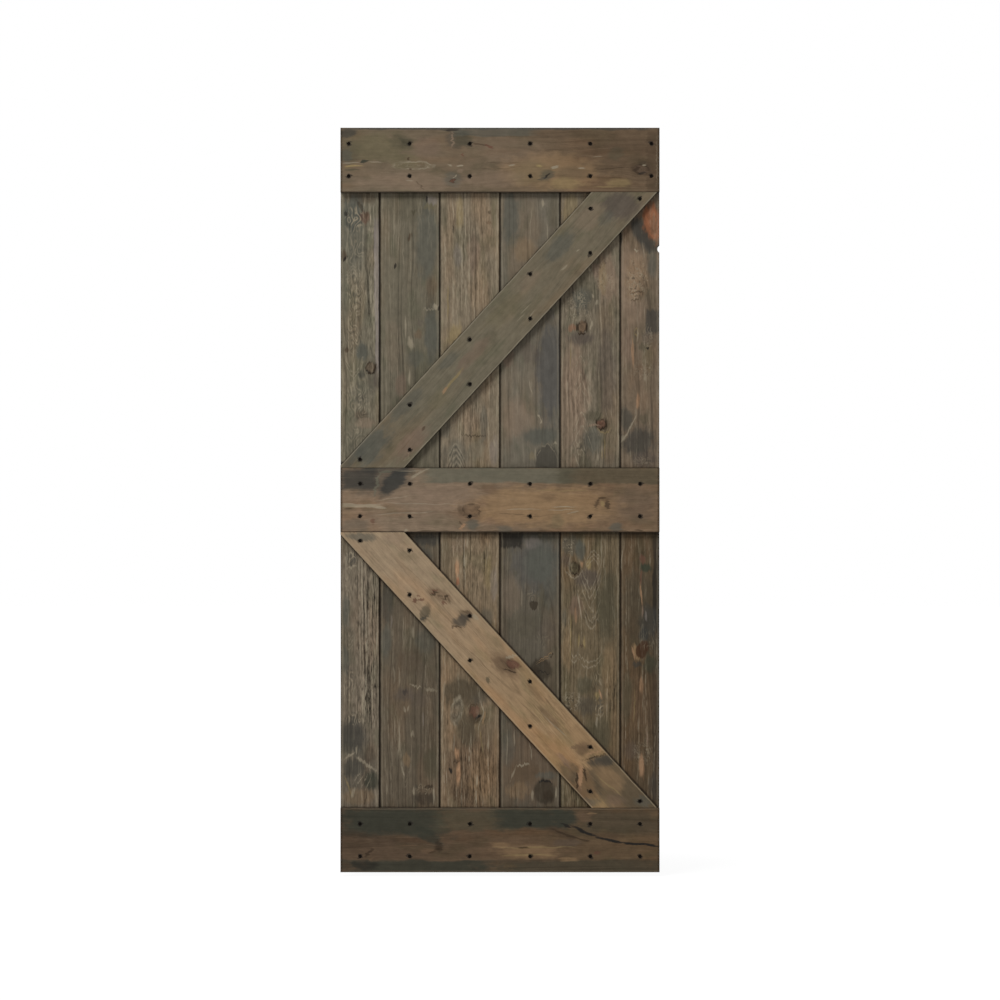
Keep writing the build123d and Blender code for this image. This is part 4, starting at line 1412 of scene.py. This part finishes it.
class Braces(Boards):
    """The two braces of the K."""

    def boards(self) -> list[Board]:
        """The braces, from the top."""
        return [self._upper(), self._lower()]

    def _upper(self) -> Board:
        """Smooth and olive-grey, with slate at its lower end.

        Returns:
            The board with its marks.
        """
        marks = [
            Stain(30, 935, 110, 70, Tint.SHADE, 0.55, 45), Stain(740, 235, 60, 60, Tint.CLAY, 0.3, 45),
            Stain(805, 225, 120, 96, Tint.MAUVE, 0.75), Stain(705, 262, 80, 70, Tint.CLAY, 0.3, 45),
            *Stain.each(Tint.SLATE, (625, 345, 130, 60, 0.65, 45), (88, 912, 150, 90, 0.8, 45)),
            Stain(470, 520, 160, 60, Tint.OLIVE, 0.4, 45), Stain(205, 900, 140, 60, Tint.ROSE, 0.5, 45),
            Stain(190, 795, 150, 44, Tint.SLATE, 0.6, 45), Stain(380, 650, 150, 40, Tint.ROSE, 0.4, 48),
            *Stain.each(Tint.SLATE, (310, 665, 90, 34, 0.5, 45), (760, 260, 60, 40, 0.4, 45)),
            Stain(280, 780, 90, 50, Tint.OLIVE, 0.4, 45), Stain(430, 600, 50, 50, Tint.MOSS, 0.35, 45),
            Stain(540, 440, 90, 40, Tint.CLAY, 0.3, 45), Curl(190, 945, 34, 30, 0.32),
            Stroke(325, 722, 90, 9, Tint.HONEY, 0.6, 50), Stroke(300, 752, 24, 10, Tint.PEACH, 0.5, 45),
            Stroke(240, 862, 18, 10, Tint.UMBER, 0.7, 42),
            *Stroke.each(Tint.BONE, (530, 520, 56, 3, 0.4, 45), (545, 536, 44, 3, 0.35, 45),
                (515, 545, 40, 3, 0.3, 45), (680, 350, 14, 5, 0.5, 40), (640, 400, 26, 6, 0.35, 45)),
            *Stroke.each(Tint.COCOA, (190, 905, 110, 4, 0.4, 46), (215, 830, 80, 3, 0.35, 44)),
        ]
        wood = Wood((104, 97, 81), (106, 97, 80), 0.3, (150, 140, 120))
        grain = Grain(11.9, line=0.18, streak=0.24, fibre=0.36, mottle=0.65, late=0.08, brushed=0.05)
        edges = Edges(wear_and_highlight=0.55, inset=1.2, width=2.2, grime_and_shade_above=(3.5, 0.75), painted_shadow_below=(3.0, 0.4))
        return Board("upper_brace", Lay.SLOPING, wood, grain, edges, marks)

    def _lower(self) -> Board:
        """Tan to gold, with reddish spots and dark knots, and a slate lower end.

        Returns:
            The board with its marks.
        """
        marks = [
            *Stain.each(Tint.UMBER, (700, 1880, 120, 110, 0.6, -45), (468, 1546, 76, 36, 0.5, -25)),
            Stain(656, 1846, 84, 56, Tint.DUN, 0.65, -45),
            *Stain.each(Tint.COCOA, (288, 1340, 80, 36, 0.55, -30), (470, 1540, 130, 60, 0.5, -45)),
            *Stain.each(Tint.UMBER, (692, 1784, 56, 32, 0.5), (356, 1400, 50, 40, 0.4)),
            Stain(56, 1172, 110, 26, Tint.SLATE, 0.65, -8), Stain(150, 1180, 80, 36, Tint.CLAY, 0.4),
            *Stain.each(Tint.DUN, (822, 1895, 270, 150, 0.75, -44, 0.6, 0.35),
                (850, 1925, 190, 90, 0.6, -30)),
            *Stain.each(Tint.INK, (758, 1812, 96, 36, 0.7, 10), (346, 1412, 56, 38, 0.75, 20)),
            Stain(770, 1866, 110, 56, Tint.TAN, 0.5, -44), Stain(700, 1935, 90, 30, Tint.SLATE, 0.5),
            Stain(790, 1930, 60, 40, Tint.ROSE, 0.25), Stain(872, 1930, 60, 40, Tint.SLATE, 0.5),
            *Stain.each(Tint.COCOA, (700, 1775, 50, 34, 0.5), (455, 1526, 70, 20, 0.5)),
            Stain(640, 1812, 60, 20, Tint.ROSE, 0.5, -44), Stain(242, 1390, 30, 60, Tint.BOG, 0.6, -25),
            *Stain.each(Tint.COCOA, (600, 1690, 110, 26, 0.5, -45), (560, 1620, 90, 24, 0.35, -45)),
            *Stain.each(Tint.OLIVE, (190, 1230, 60, 40, 0.3), (440, 1470, 90, 30, 0.3, -44)),
            Comb(610, 1680, 160, 110, 1.0, -45),
            Knot(495, 1538, 44, 23, Tint.RUST, Tint.PITCH, 0.6, 0.25, 0.6, -12, 0.85, 0.0),
            Stroke(268, 1328, 20, 9, Tint.RUST, 0.7, 30),
            *Stroke.each(Tint.PITCH, (270, 1334, 22, 11, 0.7, 20), (302, 1346, 24, 10, 0.75, 25),
                (486, 1556, 44, 6, 0.75, -15)),
            *Stroke.each(Tint.RUST, (296, 1362, 18, 10, 0.7, -15), (213, 1355, 16, 13, 0.8),
                (233, 1352, 22, 10, 0.75, 15), (222, 1340, 13, 8, 0.6)),
            *Stroke.each(Tint.UMBER, (312, 1356, 8, 20, 0.5, 20), (285, 1342, 16, 10, 0.5, 30),
                (365, 1388, 28, 11, 0.6, -10), (336, 1431, 34, 5, 0.7, -10), (322, 1432, 9, 12, 0.7)),
            Stroke(233, 1408, 38, 10, Tint.INK, 0.6, 30),
            *Stroke.each(Tint.BONE, (386, 1402, 24, 12, 0.5, -35), (490, 1515, 34, 10, 0.55, 20)),
            Stroke(423, 1582, 12, 22, Tint.MOSS, 0.7), Stroke(665, 1776, 20, 13, Tint.COCOA, 0.7),
            Stroke(734, 1802, 80, 5, Tint.PITCH, 0.7, 15), Stroke(690, 1862, 15, 84, Tint.PEACH, 0.75, -5),
            *Stroke.each(Tint.COCOA, (684, 1892, 12, 40, 0.7, 10), (390, 1520, 110, 4, 0.4, -45),
                (560, 1690, 130, 4, 0.45, -45)),
            *Stroke.each(Tint.PITCH, (679, 1872, 7, 64, 0.8), (702, 1850, 7, 56, 0.75, 10)),
            Stroke(620, 1720, 120, 4, Tint.BONE, 0.35, -45),
            Stroke(770, 1885, 110, 5, Tint.HONEY, 0.4, -40), Stroke(730, 1790, 70, 7, Tint.PEACH, 0.5, 16),
        ]
        wood = Wood((146, 127, 103), (147, 120, 88), 0.45, (172, 154, 126))
        grain = Grain(12.5, line=0.32, streak=0.5, fibre=0.45, mottle=0.55, late=0.12, brushed=0.06)
        edges = Edges(wear_and_highlight=0.5, inset=1.4, width=2.2, grime_and_shade_above=(7.0, 0.8), painted_shadow_below=(4.5, 0.65))
        return Board("lower_brace", Lay.SLOPING, wood, grain, edges, marks)


@dataclass
class Screws:
    """Rows of black flat-head screws with cross recesses, in mm, in place of the plain heads."""

    radius: float = 4.95
    bevel: float = 0.35
    shank: float = 2.4
    depth: float = 3.8
    arm: float = 2.6
    arm_width: float = 1.0
    recess: float = 1.9
    sides: int = 28
    turn: float = 137.5

    def build(self) -> None:
        """Build one piece for each row and dress it."""
        finish = self._finish()
        for node in [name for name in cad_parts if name.endswith("_screws")]:
            mesh = bmesh.new()
            for number, (middle, face) in enumerate(screw_spots(node)):
                self._add(mesh, middle, face, math.radians(self.turn * (number + len(node))))
            bmesh.ops.recalc_face_normals(mesh, faces=mesh.faces)
            data = bpy.data.meshes.new(node + "_detailed")
            mesh.to_mesh(data)
            mesh.free()
            data.materials.append(finish)
            piece = bpy.data.objects.new(node + "_detailed", data)
            bpy.context.scene.collection.objects.link(piece)
            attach(piece, "root")
            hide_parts(node)
            LOG.info("built %s", piece.name)

    def _add(self, mesh: bmesh.types.BMesh, middle: Vector, face: float, angle: float) -> None:
        """Add one screw head.

        Args:
            mesh: Where it goes.
            middle: Its middle.
            face: Depth of its face.
            angle: How far its cross is turned.
        """
        def ring(points: list[tuple[float, float]], depth: float) -> list[bmesh.types.BMVert]:
            """Vertices at points of the face, so deep below it, in mm."""
            return [
                mesh.verts.new((middle.x + a * MM, face + depth * MM, middle.z + b * MM)) for a, b in points
            ]

        def skirt(upper: list[bmesh.types.BMVert], lower: list[bmesh.types.BMVert]) -> None:
            """Join two rings with a band of faces.

            Args:
                upper: The ring nearer the face.
                lower: The deeper ring, with as many vertices.
            """
            for place in range(len(upper)):
                after = (place + 1) % len(upper)
                mesh.faces.new((upper[place], upper[after], lower[after], lower[place]))

        def circle(radius: float) -> list[tuple[float, float]]:
            """Points round the head."""
            turns = [2 * math.pi * place / self.sides for place in range(self.sides)]
            return [(radius * math.cos(turn), radius * math.sin(turn)) for turn in turns]

        def cross(arm: float, half: float) -> list[tuple[float, float]]:
            """Points round a cross.

            Args:
                arm: Length of each arm from the middle.
                half: Half the width of an arm.

            Returns:
                The corners, in mm from the middle.
            """
            corner = [(arm, -half), (arm, half), (half, half)]
            points = []
            for quarter in range(4):
                turn = angle + quarter * math.pi / 2
                cos, sin = math.cos(turn), math.sin(turn)
                points += [(a * cos - b * sin, a * sin + b * cos) for a, b in corner]
            return points

        top = ring(circle(self.radius - self.bevel), 0)
        rim = ring(circle(self.radius), self.bevel)
        foot = ring(circle(self.shank), self.depth)
        mouth = ring(cross(self.arm, self.arm_width / 2), 0)
        floor = ring(cross(self.arm * 0.45, self.arm_width / 3), self.recess)
        skirt(top, rim)
        skirt(rim, foot)
        skirt(mouth, floor)
        mesh.faces.new(foot)
        mesh.faces.new(floor)
        loops = []
        for line in (top, mouth):
            for place in range(len(line)):
                pair = (line[place], line[(place + 1) % len(line)])
                loops.append(mesh.edges.get(pair) or mesh.edges.new(pair))
        bmesh.ops.triangle_fill(mesh, use_beauty=True, edges=loops)

    @staticmethod
    def _finish() -> bpy.types.Material:
        """Black phosphate, a little greyer where a driver has rubbed it.

        Returns:
            The material.
        """
        material, g = new_material("black_phosphate")
        point = g.add("TexCoord", output="Object")
        rub = g.add("TexNoise", None, {"Vector": point, "Scale": 900.0, "Detail": 2.0})
        colour = g.mix(g.ramp(rub, 0.55, 0.75), paint(18, 15, 12), paint(44, 40, 36))
        surface = g.add("BsdfPrincipled", None, {
            "Base Color": colour, "Metallic": 0.6, "Roughness": g.ramp(rub, 0.3, 0.7, 0.62, 0.45),
            "Specular IOR Level": 0.05,
        })
        g.add("OutputMaterial", None, {"Surface": surface})
        return material


@dataclass
class Studio:
    """White sweep, soft light from above and in front, and the camera."""

    view_width: float = 2.8655
    distance: float = 12.0
    sensor: float = 36.0
    floor_gap: float = 12 * MM
    floor_reach: float = 30.0
    ambient: float = 0.18
    key_size: tuple[float, float] = (6.5, 4.2)
    key_place: tuple[float, float, float] = (-6.0, -9.0, 9.65)
    key_power: float = 1860.0
    card_grey: float = 0.85
    glow: float = 1.06
    farthest: float = 100.0

    def build(self) -> None:
        """Set up floor, world, lamp and camera."""
        low, high = Vector(CAD_BOX[0]), Vector(CAD_BOX[1])
        self.middle = (low + high) / 2
        self.front = low.y
        self.base = low.z
        self._floor()
        self._world()
        self._lamp()
        self._camera()
        bpy.context.scene.view_settings.view_transform = "Standard"

    def _floor(self) -> None:
        """Lay the pale floor just below the hanging door."""
        mesh = bpy.data.meshes.new("floor")
        reach = self.floor_reach
        level = self.base - self.floor_gap
        corners = [(a * reach, b * reach, level) for a, b in ((-1, -1), (1, -1), (1, 1), (-1, 1))]
        mesh.from_pydata(corners, [], [(0, 1, 2, 3)])
        floor = bpy.data.objects.new("floor", mesh)
        bpy.context.scene.collection.objects.link(floor)
        material, g = new_material("floor_white")
        place = g.add("TexCoord", output="Object")
        away = g.vector("DISTANCE", place, (self.middle.x, self.middle.y, level), output="Value")
        seen = g.add("LightPath", output="Is Camera Ray")
        card = g.add("BsdfDiffuse", None, {"Color": (*[self.card_grey] * 3, 1)})
        glow = g.add("Emission", None, {"Color": (1, 1, 1, 1), "Strength": self.glow})
        share = seen * g.ramp(away, 0.5, 1.6, 0.9, 1.0)
        surface = g.add("MixShader", None, {0: share, 1: card, 2: glow})
        g.add("OutputMaterial", None, {"Surface": surface})
        mesh.materials.append(material)

    def _world(self) -> None:
        """White all round for the eye and for reflections, softer as light on the door."""
        world = bpy.data.worlds.new("white_studio")
        bpy.context.scene.world = world
        world.use_nodes = True
        g = Graph(world.node_tree)
        camera = g.add("LightPath", output="Is Camera Ray")
        glossy = g.add("LightPath", output="Is Glossy Ray")
        through = g.add("LightPath", output="Is Transmission Ray")
        shown = g.math("MAXIMUM", g.math("MAXIMUM", camera, glossy), through)
        light = g.add("Background", None, {"Color": (1, 1, 1, 1), "Strength": self.ambient})
        backdrop = g.add("Background", None, {"Color": (1, 1, 1, 1), "Strength": 1.0})
        surface = g.add("MixShader", None, {0: shown, 1: light, 2: backdrop})
        g.add("OutputWorld", None, {"Surface": surface})

    def _lamp(self) -> None:
        """Hang a wide soft lamp above and in front of the door."""
        lamp = bpy.data.lights.new("key_lamp", "AREA")
        lamp.shape = "RECTANGLE"
        lamp.size, lamp.size_y = self.key_size
        lamp.energy = self.key_power
        holder = bpy.data.objects.new("key_lamp", lamp)
        holder.location = self.key_place
        aim = self.middle - Vector(self.key_place)
        holder.rotation_euler = aim.to_track_quat("-Z", "Y").to_euler()
        bpy.context.scene.collection.objects.link(holder)

    def _camera(self) -> None:
        """Look straight at the door's middle with a long lens."""
        camera = bpy.data.cameras.new("camera")
        camera.sensor_width = self.sensor
        camera.lens = self.sensor * self.distance / self.view_width
        camera.clip_end = self.farthest
        holder = bpy.data.objects.new("camera", camera)
        holder.location = (self.middle.x, self.front - self.distance, self.middle.z)
        holder.rotation_euler = (math.pi / 2, 0, 0)
        bpy.context.scene.collection.objects.link(holder)
        bpy.context.scene.camera = holder


def main() -> None:
    """Build and dress the door, then the studio round it."""
    logging.basicConfig(level=logging.INFO)
    rails, braces = Rails(), Braces()
    for assembly in (Planking(rails.boards() + braces.boards()), rails, braces):
        assembly.dress()
    Screws().build()
    Studio().build()


if __name__ == "__main__":
    main()
